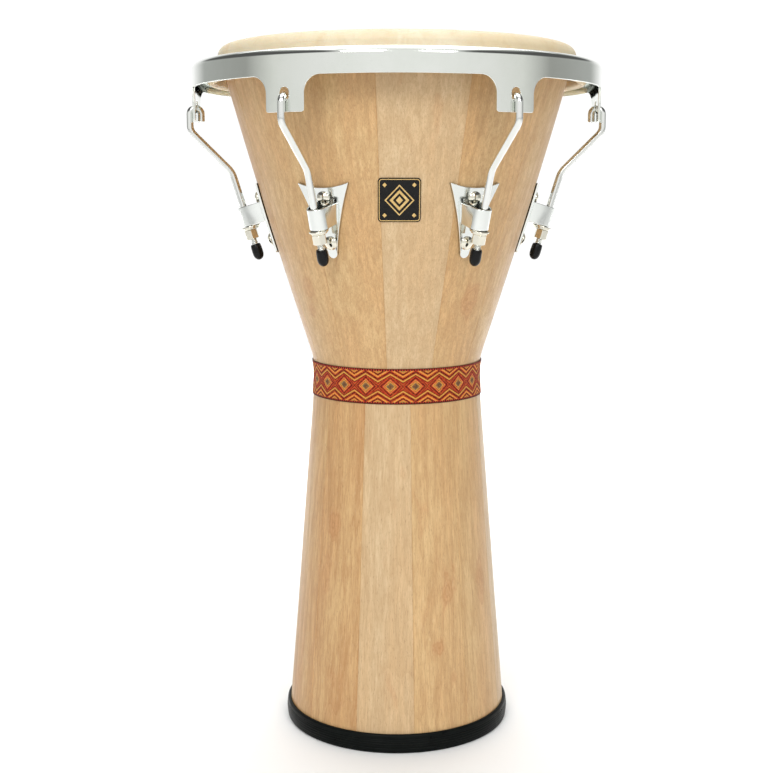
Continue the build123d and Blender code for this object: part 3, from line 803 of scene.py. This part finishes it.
def slot_outline(hw, lo, hi, n=16):
    pts = []
    for k in range(n + 1):
        a = math.pi * k / n
        pts.append((hw * math.cos(a), hi - hw + hw * math.sin(a)))
    for k in range(n + 1):
        a = math.pi + math.pi * k / n
        pts.append((hw * math.cos(a), lo + hw + hw * math.sin(a)))
    return pts


STEP_DEG = 1.5
mid_r = RIM_R - RIM_T / 2
cuts = [math.radians(STEP_DEG * k) * RIM_R for k in range(-19, 20)]
bev = 0.55
sv, sf = sheet_mesh(tab_outline(), [slot_outline(HOLE_W / 2, HOLE_LOW, HOLE_HIGH)], RIM_T, bev, cuts,
                    [562, 568, 574, 580, RIM_LOW, 590], 4)
lim = math.radians(30) * RIM_R
# drop the rounded edge along the top and the two sides, where the sheet goes on
good = []
for f in sf:
    p = sv[list(f)]
    if (p[:, 1] > SPLIT - bev - 0.01).all() and not (np.abs(p[:, 2]) > RIM_T / 2 - 1e-4).all():
        continue
    if (np.abs(p[:, 0]) > lim - bev - 0.01).all() and not (np.abs(p[:, 2]) > RIM_T / 2 - 1e-4).all():
        # keep the lower edge's rounding
        if not ((p[:, 1] < RIM_LOW + bev + 0.01).all() and (p[:, 0].max() - p[:, 0].min()) > 0.02):
            continue
    good.append(f)
sf = good


def stretch(v):
    """Move the trimmed top and side borders out to the true seam."""
    x, y, z = v
    if abs(x) > lim - bev - 0.012:
        x = math.copysign(lim, x)
    if y > SPLIT - bev - 0.012:
        y = SPLIT
    return x, y, z


sv = np.array([stretch(v) for v in sv])
bag = Bag()
for az in LUGS:
    th = sv[:, 0] / RIM_R + math.radians(az)
    rr = mid_r + sv[:, 2]
    pts = np.stack([rr * np.sin(th), -rr * np.cos(th), sv[:, 1]], 1) * MM
    bag.add(pts, sf)
zc = RIM_TOP - RIM_BEND
ri = RIM_BEND - RIM_T
prof = [(RIM_R, SPLIT), (RIM_R, 598.0)]
prof += [(RIM_R - RIM_BEND + RIM_BEND * math.cos(a), zc + RIM_BEND * math.sin(a)) for a in np.linspace(0, math.pi / 2, 13)]
prof += [(173.7, RIM_TOP)]
prof += [(RIM_IN + RIM_BEND + RIM_BEND * math.cos(a), zc + RIM_BEND * math.sin(a)) for a in np.linspace(math.pi / 2, math.pi, 13)]
prof += [(RIM_IN + RIM_T / 2 - RIM_T / 2 * math.cos(a), RIM_LIP + 0.8 - 0.8 * math.sin(a)) for a in np.linspace(0, math.pi, 9)]
prof += [(RIM_IN + RIM_BEND + ri * math.cos(a), zc + ri * math.sin(a)) for a in np.linspace(math.pi, math.pi / 2, 9)]
prof += [(RIM_R - RIM_BEND + ri * math.cos(a), zc + ri * math.sin(a)) for a in np.linspace(math.pi / 2, 0, 9)]
prof += [(RIM_R - RIM_T, 598.0), (RIM_R - RIM_T, SPLIT)]
azs = []
for az in LUGS:
    azs += [az + STEP_DEG * k for k in range(-20, 20)]
pv, pf = [], []
n = len(prof)
for a in azs:
    t = math.radians(a)
    pv += [(r * math.sin(t) * MM, -r * math.cos(t) * MM, z * MM) for r, z in prof]
for i in range(len(azs)):
    j = (i + 1) % len(azs)
    for k in range(n - 1):
        pf.append((i * n + k, j * n + k, j * n + k + 1, i * n + k + 1))
bag.add(pv, pf)
rim = make("rim_ring", np.concatenate(bag.v), bag.f, CHROME)
weld(rim, dist=2e-5, angle=50)
weighted(rim)
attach(rim, "rim")
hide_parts("rim")


# ---------------------------------------------------------------------------
# Rods, tips, washers, nuts
# ---------------------------------------------------------------------------
def shank(u, nn=0.0):
    return (SHANK[0] + u * SN + nn * CS, SHANK[1] + u * CS - nn * SN)


def rod_path():
    """Points and tangents of the rod's centreline, hook end first, in (r, z)."""
    inner = HOOK_C[0] - HOOK_R
    pts = [(inner, z) for z in np.linspace(557.8, HOOK_C[1], 8)]
    pts += [(HOOK_C[0] - HOOK_R * math.cos(a), HOOK_C[1] + HOOK_R * math.sin(a)) for a in np.linspace(0, math.pi, 26)[1:]]
    b2z = 513.0
    b1 = np.array((HOOK_C[0] + HOOK_R, 550.0))
    b2 = np.array((SHANK[0] + (b2z - SHANK[1]) * SN / CS, b2z))
    end = np.array(shank(-46.0))
    prev = np.array((HOOK_C[0] + HOOK_R, HOOK_C[1]))
    for p, nxt, rad in ((b1, b2, 11.0), (b2, end, 20.0)):
        a = (prev - p) / np.linalg.norm(prev - p)
        b = (nxt - p) / np.linalg.norm(nxt - p)
        ang = math.acos(float(a @ b))
        d = rad / math.tan(ang / 2)
        c = p + (a + b) / np.linalg.norm(a + b) * rad / math.sin(ang / 2)
        s, e = p + a * d - c, p + b * d - c
        w = math.acos(float(s @ e) / rad ** 2)
        last = np.array(pts[-1])
        first = c + s
        k = max(2, int(np.linalg.norm(first - last) / 4))
        pts += [tuple(last + (first - last) * i / k) for i in range(1, k)]
        pts += [tuple(c + (math.sin((1 - t) * w) * s + math.sin(t * w) * e) / math.sin(w)) for t in np.linspace(0, 1, 15)]
        prev = p
    return pts


PATH = rod_path()
PITCH = 1.27


def rod_mesh():
    last = np.array(PATH[-1])
    top_u = (last[0] - SHANK[0]) * SN + (last[1] - SHANK[1]) * CS
    rows = [(p, 0.0) for p in PATH]
    us = list(np.linspace(top_u, 0.5, 8)[1:])
    rows += [(shank(u), 0.0) for u in us]
    seg = 28
    thread_us = np.arange(0.0, -45.21, -PITCH / 8)
    rows += [(shank(u), 1.0) for u in thread_us]
    verts, faces = [], []
    P = np.array([r[0] for r in rows])
    T = np.gradient(P, axis=0)
    T /= np.linalg.norm(T, axis=1)[:, None]
    count = len(rows)
    lead = len(rows) - len(thread_us)
    for i in range(count):
        tx, tz = T[i]
        nx, nz = tz, -tx  # in-plane normal
        u = (P[i][0] - SHANK[0]) * SN + (P[i][1] - SHANK[1]) * CS
        for k in range(seg):
            a = 2 * math.pi * k / seg
            rad = ROD_R
            if rows[i][1]:
                ph = (u / PITCH + k / seg) % 1.0
                tri = abs(2 * ph - 1)
                depth = 0.62 * min(1.0, (0.0 - u) / 1.2) * min(1.0, (u + 46.0) / 1.0)
                rad = ROD_R - depth * min(1.0, max(0.0, tri * 1.25 - 0.12))
            if i == 0:
                rad = ROD_R - 0.6
            verts.append((P[i][0] + rad * math.cos(a) * nx, rad * math.sin(a), P[i][1] + rad * math.cos(a) * nz))
    # hook end chamfer ring
    for i in range(count - 1):
        for k in range(seg):
            m = (k + 1) % seg
            faces.append((i * seg + k, i * seg + m, (i + 1) * seg + m, (i + 1) * seg + k))
    faces.append(tuple(reversed(range(seg))))
    faces.append(tuple(range((count - 1) * seg, count * seg)))
    return np.array(verts), faces


# a short row just inside the hook's end makes the chamfer
PATH = [PATH[0], (PATH[0][0], PATH[0][1] + 0.6)] + PATH[1:]
RV, RF = rod_mesh()

tip_loop = [(3.2, -35.2), (3.9, -35.2), (4.25, -35.45), (4.45, -35.9), (4.72, -37.0), (4.86, -38.6), (4.93, -41.0), (4.95, -43.2), (4.86, -44.8),
            (4.62, -45.9), (4.3, -46.9), (3.75, -47.95), (3.0, -48.85), (2.0, -49.55), (1.0, -49.92), (0.05, -50.0), (0.05, -46.0), (3.2, -45.9)]
TV, TF = local_lathe(tip_loop, 40)
wt = -18.35
WZ = wt
wash = fillet_loop([(4.75, wt, 0.25), (8.5, wt, 0.55), (8.5, wt - 1.7, 0.4), (7.1, wt - 1.7, 0.12), (7.1, wt - 3.2, 0.45), (4.75, wt - 3.2, 0.2)], 5)
WV, WF = local_lathe(wash, 64)
WV = WV + np.array((-1.2, 0, 0))
nt = wt - 3.3


def nut_mesh(af=11.1, h=8.6, bore=3.235, ztop=nt, seg=96):
    rows = [0.0, 0.06, 0.2, 0.4, 0.65, 0.9, 1.3, h / 2, h - 1.3, h - 0.9, h - 0.65, h - 0.4, h - 0.2, h - 0.06, h]
    verts, faces = [], []
    for d in rows:
        e = min(d, h - d)
        cham = af / 2 - 0.22 + e * 1.75
        for k in range(seg):
            a = 2 * math.pi * k / seg
            b = (a + math.pi / 6) % (math.pi / 3) - math.pi / 6
            hexr = (af / 2) / math.cos(b)
            # ease the six corners
            hexr = min(hexr, af / math.sqrt(3) - 0.22)
            r = min(hexr, cham)
            verts.append((r * math.cos(a), r * math.sin(a), ztop - d))
    nr = len(rows)
    for i in range(nr - 1):
        for k in range(seg):
            m = (k + 1) % seg
            faces.append((i * seg + k, (i + 1) * seg + k, (i + 1) * seg + m, i * seg + m))
    # bore with a small countersink at each end
    inner = [(bore + 0.5, 0.0), (bore, 0.5), (bore, h - 0.5), (bore + 0.5, h)]
    base = len(verts)
    for r, d in inner:
        for k in range(seg):
            a = 2 * math.pi * k / seg
            verts.append((r * math.cos(a), r * math.sin(a), ztop - d))
    for i in range(3):
        for k in range(seg):
            m = (k + 1) % seg
            faces.append((base + i * seg + k, base + i * seg + m, base + (i + 1) * seg + m, base + (i + 1) * seg + k))
    for k in range(seg):
        m = (k + 1) % seg
        faces.append((k, m, base + m, base + k))
        faces.append(((nr - 1) * seg + k, base + 3 * seg + k, base + 3 * seg + m, (nr - 1) * seg + m))
    return np.array(verts), faces


NV, NF = nut_mesh()


def in_shank(v):
    """Local shank coordinates (outwards, tangential, up the shank) to (radial, tangential, height)."""
    v = np.asarray(v, float)
    r = SHANK[0] + v[:, 2] * SN + v[:, 0] * CS
    z = SHANK[1] + v[:, 2] * CS - v[:, 0] * SN
    return np.stack([r, v[:, 1], z], 1)


for k, az in enumerate(LUGS, 1):
    for nm, v, f, mat, body, node, slot_name, ang in (
        (f"hook_rod_{k}", RV, RF, CHROME_ROD, f"rod_{k}", f"tuning_rod_{k}", "rod_chrome", 50),
        (f"rubber_tip_{k}", in_shank(TV), TF, RUBBER_TIP, f"rod_{k}", f"rod_tip_{k}", "rubber", 50),
        (f"cup_washer_{k}", in_shank(WV), WF, CHROME_HARD, f"washer_{k}", f"washer_{k}", "hardware_chrome", 50),
        (f"hex_nut_{k}", in_shank(NV), NF, CHROME_HARD, f"nut_{k}", f"lug_nut_{k}", "hardware_chrome", 24),
    ):
        o = make(nm, placed(az, v), f, mat)
        weld(o, dist=1e-8, angle=ang)
        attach(o, body)
        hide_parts(node)

# ---------------------------------------------------------------------------
# Side plates with their strap loops, gaskets, bolts
# ---------------------------------------------------------------------------


def arc3(a, m, b, n):
    return arc_pts(a, m, b, n)


def v_loop(grow, lo=440.5, top_z=504.0, half=24.8, dip=4.3):
    h, lo, tp = half + grow, lo - grow, top_z + grow
    lh = 4.4 + grow
    pts = arc3((-h, tp), (0, tp - dip), (h, tp), 24)
    pts += arc3((h, tp), (14.5 + grow, 479.0), (lh, lo + 5.0), 18)[1:]
    pts += arc3((lh, lo + 5.0), (0, lo), (-lh, lo + 5.0), 12)[1:]
    pts += arc3((-lh, lo + 5.0), (-14.5 - grow, 479.0), (-h, tp), 18)[1:-1]
    return pts


def on_flare(v):
    """(tangential, height, offset) to (radial, tangential, height) on the bowl."""
    out = []
    for t, z, off in v:
        (r, zz), _ = flare(z, off)
        out.append((math.sqrt(max(r * r - t * t, 0)), t, zz))
    return np.array(out)


def plate_sheet(grow, off0, off1, bevel, corner):
    loop = v_loop(grow)
    loop = fillet_loop([(p[0], p[1], corner if i in (0, 24) else 0.0) for i, p in enumerate(loop)], 5)
    holes = []
    for bz in BOLT_Z:
        holes.append([(3.2 * math.cos(a), bz + 3.2 * math.sin(a)) for a in np.linspace(0, 2 * math.pi, 24, endpoint=False)])
    v, f = sheet_mesh(loop, holes, off1 - off0, bevel, [-20, -16, -12, -8, -4, 0, 4, 8, 12, 16, 20], [450, 460, 470, 480, 490, 498], 3)
    v[:, 2] += (off0 + off1) / 2
    return on_flare(v), f


PV, PF = plate_sheet(0.0, GASKET_T, GASKET_T + PLATE_T, 0.45, 1.2)
GV, GF = plate_sheet(-0.4, 0.02, GASKET_T, 0.2, 1.2)

LOOP_H, LOOP_R, LOOP_T, LOOP_C = 18.0, 8.75, 1.5, -3.7
(sr_, sz_), _n = flare(SHANK[1] - LOOP_H / 2 + 4.0)
m_ = shank(-LOOP_H / 2)
stand = (m_[0] - sr_) * CS - (m_[1] - sz_) * SN
BASE_N = -(stand - GASKET_T - PLATE_T * 0.35)


def strap_mesh():
    """The strap's own ribbon: a rounded bar section carried along the U path, which widens towards the top."""
    half_t = LOOP_T / 2
    sec = fillet_loop([(-half_t, 0, 0.55), (half_t, 0, 0.55), (half_t, -LOOP_H, 0.55), (-half_t, -LOOP_H, 0.55)], 4)
    sec = subdivide(sec, 3.0)
    ss = np.concatenate([np.linspace(0, 1, 9)[:-1], np.linspace(1, 2, 41)[:-1], np.linspace(2, 3, 9)])
    verts, faces = [], []
    ns = len(sec)
    for s in ss:
        for w, u in sec:
            beta = math.radians(5 + 12 * (1 + u / LOOP_H))
            rad = LOOP_R - half_t + w
            p1 = (LOOP_C + rad * math.sin(beta), rad * math.cos(beta))
            tb = p1[1] + (p1[0] - BASE_N) * math.tan(beta)
            if s <= 1:
                nn = BASE_N + (p1[0] - BASE_N) * s
                tt = -(tb + (p1[1] - tb) * s)
            elif s <= 2:
                a0 = math.pi / 2 - beta
                a = -a0 + 2 * a0 * (s - 1)
                nn, tt = LOOP_C + rad * math.cos(a), rad * math.sin(a)
            else:
                nn = p1[0] + (BASE_N - p1[0]) * (s - 2)
                tt = p1[1] + (tb - p1[1]) * (s - 2)
            verts.append((nn, tt, u))
    for i in range(len(ss) - 1):
        for k in range(ns):
            m = (k + 1) % ns
            faces.append((i * ns + k, (i + 1) * ns + k, (i + 1) * ns + m, i * ns + m))
    faces.append(tuple(range(ns)))
    faces.append(tuple(reversed(range((len(ss) - 1) * ns, len(ss) * ns))))
    return in_shank(verts), faces


SV, SF = strap_mesh()
# weld bead where each leg of the strap meets the plate


def bead_mesh(side):
    verts, faces = [], []
    rows = 26
    seg = 10
    for i in range(rows + 1):
        u = -LOOP_H + 0.6 + (LOOP_H - 1.2) * i / rows
        beta = math.radians(5 + 12 * (1 + u / LOOP_H))
        rad = LOOP_R - LOOP_T / 2
        p1 = (LOOP_C + rad * math.sin(beta), rad * math.cos(beta))
        plate_n = BASE_N + PLATE_T * 0.65 - 0.55 * (abs(p1[1] + (p1[0] - BASE_N) * math.tan(beta)) / 13.0) ** 2
        tb = p1[1] + (p1[0] - plate_n) * math.tan(beta)
        rr = 1.15 + 0.12 * math.sin(i * 2.1) + 0.05 * math.sin(i * 5.3)
        if i in (0, rows):
            rr *= 0.35
        for k in range(seg):
            a = 2 * math.pi * k / seg
            verts.append((plate_n + rr * 0.8 * math.cos(a), side * (tb + rr * math.sin(a)), u))
    for i in range(rows):
        for k in range(seg):
            m = (k + 1) % seg
            faces.append((i * seg + k, i * seg + m, (i + 1) * seg + m, (i + 1) * seg + k))
    faces.append(tuple(range(seg)))
    faces.append(tuple(range(rows * seg, (rows + 1) * seg)))
    return in_shank(verts), faces


beads = [bead_mesh(1), bead_mesh(-1)]
dome_c = (3.6 ** 2 - 36 - 0.49) / (2 * 2.9)
dome_r = 3.6 - dome_c
a1 = math.asin(6 / dome_r)
dome = [(3.0, -2.0), (3.0, 0.02), (5.85, 0.02), (6.0, 0.2), (6.0, 0.55)] + \
       [(dome_r * math.sin(a), dome_c + dome_r * math.cos(a)) for a in np.linspace(a1, 0.006, 12)] + [(0.02, -2.0)]
DV, DF = local_lathe(dome, 40)
shank_bolt = [(0.02, -1.9), (3.0, -1.9), (3.0, -22.3), (2.5, -22.9), (0.02, -22.9)]
BV, BF = local_lathe(shank_bolt, 24)

plates, gaskets, bolts = Bag(), Bag(), Bag()
for az in LUGS:
    plates.add(placed(az, PV), PF)
    plates.add(placed(az, SV), SF)
    for bv, bf in beads:
        plates.add(placed(az, bv), bf)
    gaskets.add(placed(az, GV), GF)
    for bz in BOLT_Z:
        (r0, z0), nrm = flare(bz, GASKET_T + PLATE_T)
        for v, f in ((DV, DF), (BV, BF)):
            bolts.add(placed(az, frame_to(v, (r0, 0, z0), (nrm[0], 0, nrm[1]))), f)
o = plates.make("lug_plates", CHROME_PLATE, 40)
weighted(o)
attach(o, "shell")
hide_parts("side_plates")
o = gaskets.make("lug_gaskets", GASKET, 40)
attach(o, "shell")
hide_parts("plate_gaskets")
o = bolts.make("dome_bolts", CHROME_HARD, 40)
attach(o, "shell")
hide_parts("plate_bolts")

# ---------------------------------------------------------------------------
# Badge: black enamelled plate, gold border and a plain geometric ornament
# ---------------------------------------------------------------------------


def rrect(w, h, r, cx=0.0, cz=0.0, n=8):
    pts = []
    for sx, sy, a0 in ((1, 1, 0), (-1, 1, 90), (-1, -1, 180), (1, -1, 270)):
        for k in range(n + 1):
            a = math.radians(a0 + 90 * k / n)
            pts.append((cx + sx * (w / 2 - r) + r * math.cos(a), cz + sy * (h / 2 - r) + r * math.sin(a)))
    return pts


gridx = [-15, -12, -9, -6, -3, 0, 3, 6, 9, 12, 15]


def badge_part(name, outer, holes, off0, off1, bevel, mat):
    v, f = sheet_mesh(outer, holes, off1 - off0, bevel, gridx, [478, 483, 489, 495, 500], 2)
    v[:, 2] += (off0 + off1) / 2
    o = make(name, placed(0, on_flare(v)), f, mat)
    weld(o, dist=1e-8, angle=40)
    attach(o, "shell")
    return o


BZ = 489.0
plate_b = badge_part("badge_plate", rrect(35.5, 36.0, 3.0, 0, BZ), [], 0.05, 0.95, 0.25, BLACK)
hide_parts("badge")
badge_part("badge_border", rrect(33.9, 34.4, 2.5, 0, BZ), [rrect(32.6, 33.1, 2.0, 0, BZ)], 0.80, 1.15, 0.08, GOLD)


def star(cx, cz, r0, r1, n=8, rot=0.0):
    pts = []
    for k in range(2 * n):
        r = r0 if k % 2 == 0 else r1
        a = math.pi * k / n + rot
        pts.append((cx + r * math.cos(a), cz + r * math.sin(a)))
    return pts


def diamond(cx, cz, w, h):
    return [(cx + w, cz), (cx, cz + h), (cx - w, cz), (cx, cz - h)]


badge_part("badge_motif_outer", diamond(0, BZ, 12.4, 12.8), [diamond(0, BZ, 10.9, 11.3)], 0.80, 1.18, 0.08, GOLD)
badge_part("badge_motif_mid", diamond(0, BZ, 8.2, 8.6), [diamond(0, BZ, 5.4, 5.7)], 0.80, 1.18, 0.08, GOLD)
badge_part("badge_motif_core", diamond(0, BZ, 3.0, 3.2), [], 0.80, 1.18, 0.08, GOLD)
for i, (sx, sz) in enumerate(((1, 1), (-1, 1), (-1, -1), (1, -1))):
    badge_part(f"badge_corner_{i + 1}", diamond(sx * 12.2, BZ + sz * 12.4, 1.9, 1.9), [], 0.80, 1.15, 0.08, GOLD)

# ---------------------------------------------------------------------------
# Waist band: woven tape drawn tight round the joint
# ---------------------------------------------------------------------------
BL, BH = 311.1, 342.5
bz_in = [(78.02, BL), (77.02, 325.8), (77.02, 330.0), (77.15, 335.0), (77.95, BH)]
bzz, brr = [p[1] for p in bz_in], [p[0] for p in bz_in]
rows = np.linspace(BL, BH, 34)
seg = 360
verts, faces, uvs = [], [], []
mid_z = (BL + BH) / 2
gap = 0.25 / 77.5
angs = np.linspace(-math.pi + gap, math.pi - gap, seg + 1)
R0 = 77.8


def band_point(a, z, side):
    r = float(np.interp(z, bzz, brr))
    e = min(z - BL, BH - z)
    edge = 0.12 * (1 - math.exp(-e / 0.5))
    if side:
        ripple = 0.035 * math.sin(a * 41 + z * 0.3) + 0.03 * math.sin(a * 17 + 1.0)
        return r + 0.52 + edge + max(-0.05, ripple) * 0.8
    return r + 0.06


for side in (1, 0):
    for z in rows:
        for a in angs:
            r = band_point(a, z, side)
            verts.append((r * math.sin(a) * MM, -r * math.cos(a) * MM, z * MM))
            uvs.append((a * R0 / 100.0, (z - mid_z) / 100.0))
nr, nc = len(rows), len(angs)
base = nr * nc
for i in range(nr - 1):
    for j in range(nc - 1):
        faces.append((i * nc + j, i * nc + j + 1, (i + 1) * nc + j + 1, (i + 1) * nc + j))
        faces.append((base + i * nc + j, base + (i + 1) * nc + j, base + (i + 1) * nc + j + 1, base + i * nc + j + 1))
for j in range(nc - 1):
    faces.append((j, base + j, base + j + 1, j + 1))
    t0 = (nr - 1) * nc
    faces.append((t0 + j, t0 + j + 1, base + t0 + j + 1, base + t0 + j))
for i in range(nr - 1):
    faces.append((i * nc, (i + 1) * nc, base + (i + 1) * nc, base + i * nc))
    faces.append((i * nc + nc - 1, base + i * nc + nc - 1, base + (i + 1) * nc + nc - 1, (i + 1) * nc + nc - 1))
band = make("woven_tape", verts, faces, BAND_M, uv=uvs)
bm = bmesh.new()
bm.from_mesh(band.data)
bmesh.ops.recalc_face_normals(bm, faces=bm.faces)
bm.to_mesh(band.data)
bm.free()
band.data.set_sharp_from_angle(angle=math.radians(60))
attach(band, "shell")
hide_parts("waist_band")

# ---------------------------------------------------------------------------
# Foot ring: moulded rubber channel with fine grooves
# ---------------------------------------------------------------------------
outer = []
for z in np.linspace(2.0, 15.2, 67):
    bulge = 104.8 + 0.6 * math.sin(math.pi * min(1, max(0, (z - 2) / 13.2)))
    groove = 0.0
    for gz in (4.6, 6.9, 9.2, 11.5, 13.2):
        groove += 0.30 * math.exp(-((z - gz) / 0.26) ** 2)
    outer.append((bulge - groove, float(z)))
foot = [(87.9, 1.0), (88.05, 0.5), (88.4, 0.12), (88.9, 0.0), (96.0, 0.0), (102.9, 0.0), (103.7, 0.2), (104.35, 0.75), (104.7, 1.4)]
foot += outer
foot += [(104.72, 15.9), (104.45, 16.7), (103.8, 17.3), (102.9, 17.5), (102.2, 17.45), (101.75, 17.1)]
foot += [(102.3, 10.0), (102.86, 3.5), (102.86, 2.98), (91.2, 2.98), (91.2, 3.5), (90.55, 10.6), (90.1, 11.05), (89.5, 11.2), (88.95, 10.95), (88.6, 10.4), (87.9, 8.5)]
o = lathe("rubber_foot_ring", foot, RUBBER, seg=240, angle=45)
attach(o, "shell")
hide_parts("foot_ring")

# ---------------------------------------------------------------------------
# Hidden CAD nodes keep their shape and get their finish
# ---------------------------------------------------------------------------
for node, mat in (("flesh_hoop", STEEL), ("backing_washers", STEEL), ("backing_nuts", STEEL)):
    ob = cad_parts[node]
    ob.data.materials.clear()
    ob.data.materials.append(mat)

# ---------------------------------------------------------------------------
# Stage, lights, camera
# ---------------------------------------------------------------------------
fl = make("floor", [(-4, -4, 0), (4, -4, 0), (4, 2.6, 0), (-4, 2.6, 0)], [(0, 1, 2, 3)], floor_mat(), smooth=False)

world = bpy.data.worlds.new("studio")
SCN.world = world
world.use_nodes = True
wt_ = world.node_tree
wt_.nodes.clear()
wo = wt_.nodes.new("ShaderNodeOutputWorld")
bg = wt_.nodes.new("ShaderNodeBackground")
geo = wt_.nodes.new("ShaderNodeTexCoord")
sepw = wt_.nodes.new("ShaderNodeSeparateXYZ")
wt_.links.new(geo.outputs["Generated"], sepw.inputs[0])


def wmath(op, a, b=None, c=None, clamp=False):
    nd = wt_.nodes.new("ShaderNodeMath")
    nd.operation, nd.use_clamp = op, clamp
    for i, v in enumerate((a, b, c)):
        if isinstance(v, bpy.types.NodeSocket):
            wt_.links.new(v, nd.inputs[i])
        elif v is not None:
            nd.inputs[i].default_value = v
    return nd.outputs[0]


# a light tent: bright behind the camera, greyer to the sides, white behind the drum
mr = wt_.nodes.new("ShaderNodeMapRange")
mr.inputs[1].default_value, mr.inputs[2].default_value = -1.0, 1.0
wt_.links.new(sepw.outputs[1], mr.inputs[0])
rampw = wt_.nodes.new("ShaderNodeValToRGB")
el = rampw.color_ramp.elements
while len(el) < 6:
    el.new(0.5)
for e, (pos_, val) in zip(el, ((0.0, (0.92, 0.92, 0.91)), (0.13, (0.86, 0.86, 0.85)), (0.33, (0.76, 0.765, 0.74)),
                               (0.50, (0.34, 0.345, 0.33)), (0.84, (0.42, 0.43, 0.42)), (0.955, (1.0, 1.0, 1.0)))):
    e.position = pos_
    e.color = (*val, 1)
wt_.links.new(mr.outputs[0], rampw.inputs[0])
up = wmath("MULTIPLY_ADD", sepw.outputs[2], 0.25, 0.0, True)
mixw = wt_.nodes.new("ShaderNodeMix")
mixw.data_type = "RGBA"
wt_.links.new(up, mixw.inputs[0])
wt_.links.new(rampw.outputs[0], mixw.inputs[6])
mixw.inputs[7].default_value = (1, 1, 1, 1)
# dark flags high up at both sides give the bright metal its black lines
ax = wmath("ABSOLUTE", sepw.outputs[0])
side = wmath("MULTIPLY_ADD", ax, 6.0, -2.6, True)
rise = wmath("MULTIPLY_ADD", sepw.outputs[2], 9.0, -2.2, True)
cap = wmath("MULTIPLY_ADD", sepw.outputs[2], -8.0, 6.6, True)
dark = wmath("MULTIPLY", wmath("MULTIPLY", side, rise), cap)
flag = wt_.nodes.new("ShaderNodeMix")
flag.data_type = "RGBA"
wt_.links.new(dark, flag.inputs[0])
wt_.links.new(mixw.outputs[2], flag.inputs[6])
flag.inputs[7].default_value = (0.10, 0.10, 0.10, 1)
wt_.links.new(flag.outputs[2], bg.inputs[0])
bg.inputs[1].default_value = 1.05
wt_.links.new(bg.outputs[0], wo.inputs[0])


def area(name, loc, target, size, power, col=(1, 1, 1)):
    ld = bpy.data.lights.new(name, "AREA")
    ld.shape = "RECTANGLE"
    ld.size, ld.size_y = size
    ld.energy = power
    ld.color = col
    ob = bpy.data.objects.new(name, ld)
    ob.location = loc
    ob.rotation_mode = "QUATERNION"
    ob.rotation_quaternion = (Vector(target) - Vector(loc)).to_track_quat("-Z", "Y")
    SCN.collection.objects.link(ob)
    return ob


area("key", (-0.7, -2.0, 1.6), (0, 0, 0.35), (0.8, 0.8), 15)
area("fill", (0.8, -2.0, 1.5), (0, 0, 0.35), (0.6, 0.7), 9)
area("top", (0.0, 0.1, 2.4), (0, 0, 0.3), (2.2, 2.2), 24)
area("backdrop", (0.0, 2.2, 2.4), (0, 2.1, 0.0), (4.0, 1.6), 60).data.spread = math.radians(100)

CAM_D, CAM_H, PITCHED = 1.213107, 0.496567, 0.1482
turn = math.radians(-1.0)
cam_d = bpy.data.cameras.new("camera")
cam_d.lens = 1312.5 / 773 * 36.0
cam_d.sensor_width = 36.0
cam_d.shift_x = -(396.8 - 386.5) / 773.0
cam_d.clip_start, cam_d.clip_end = 0.05, 50
cam = bpy.data.objects.new("camera", cam_d)
cam.location = (CAM_D * math.sin(turn), -CAM_D * math.cos(turn), CAM_H)
cam.rotation_mode = "XYZ"
cam.rotation_euler = (math.pi / 2 - PITCHED, 0, turn)
SCN.collection.objects.link(cam)
SCN.camera = cam
SCN.view_settings.view_transform = "Standard"
SCN.view_settings.look = "None"
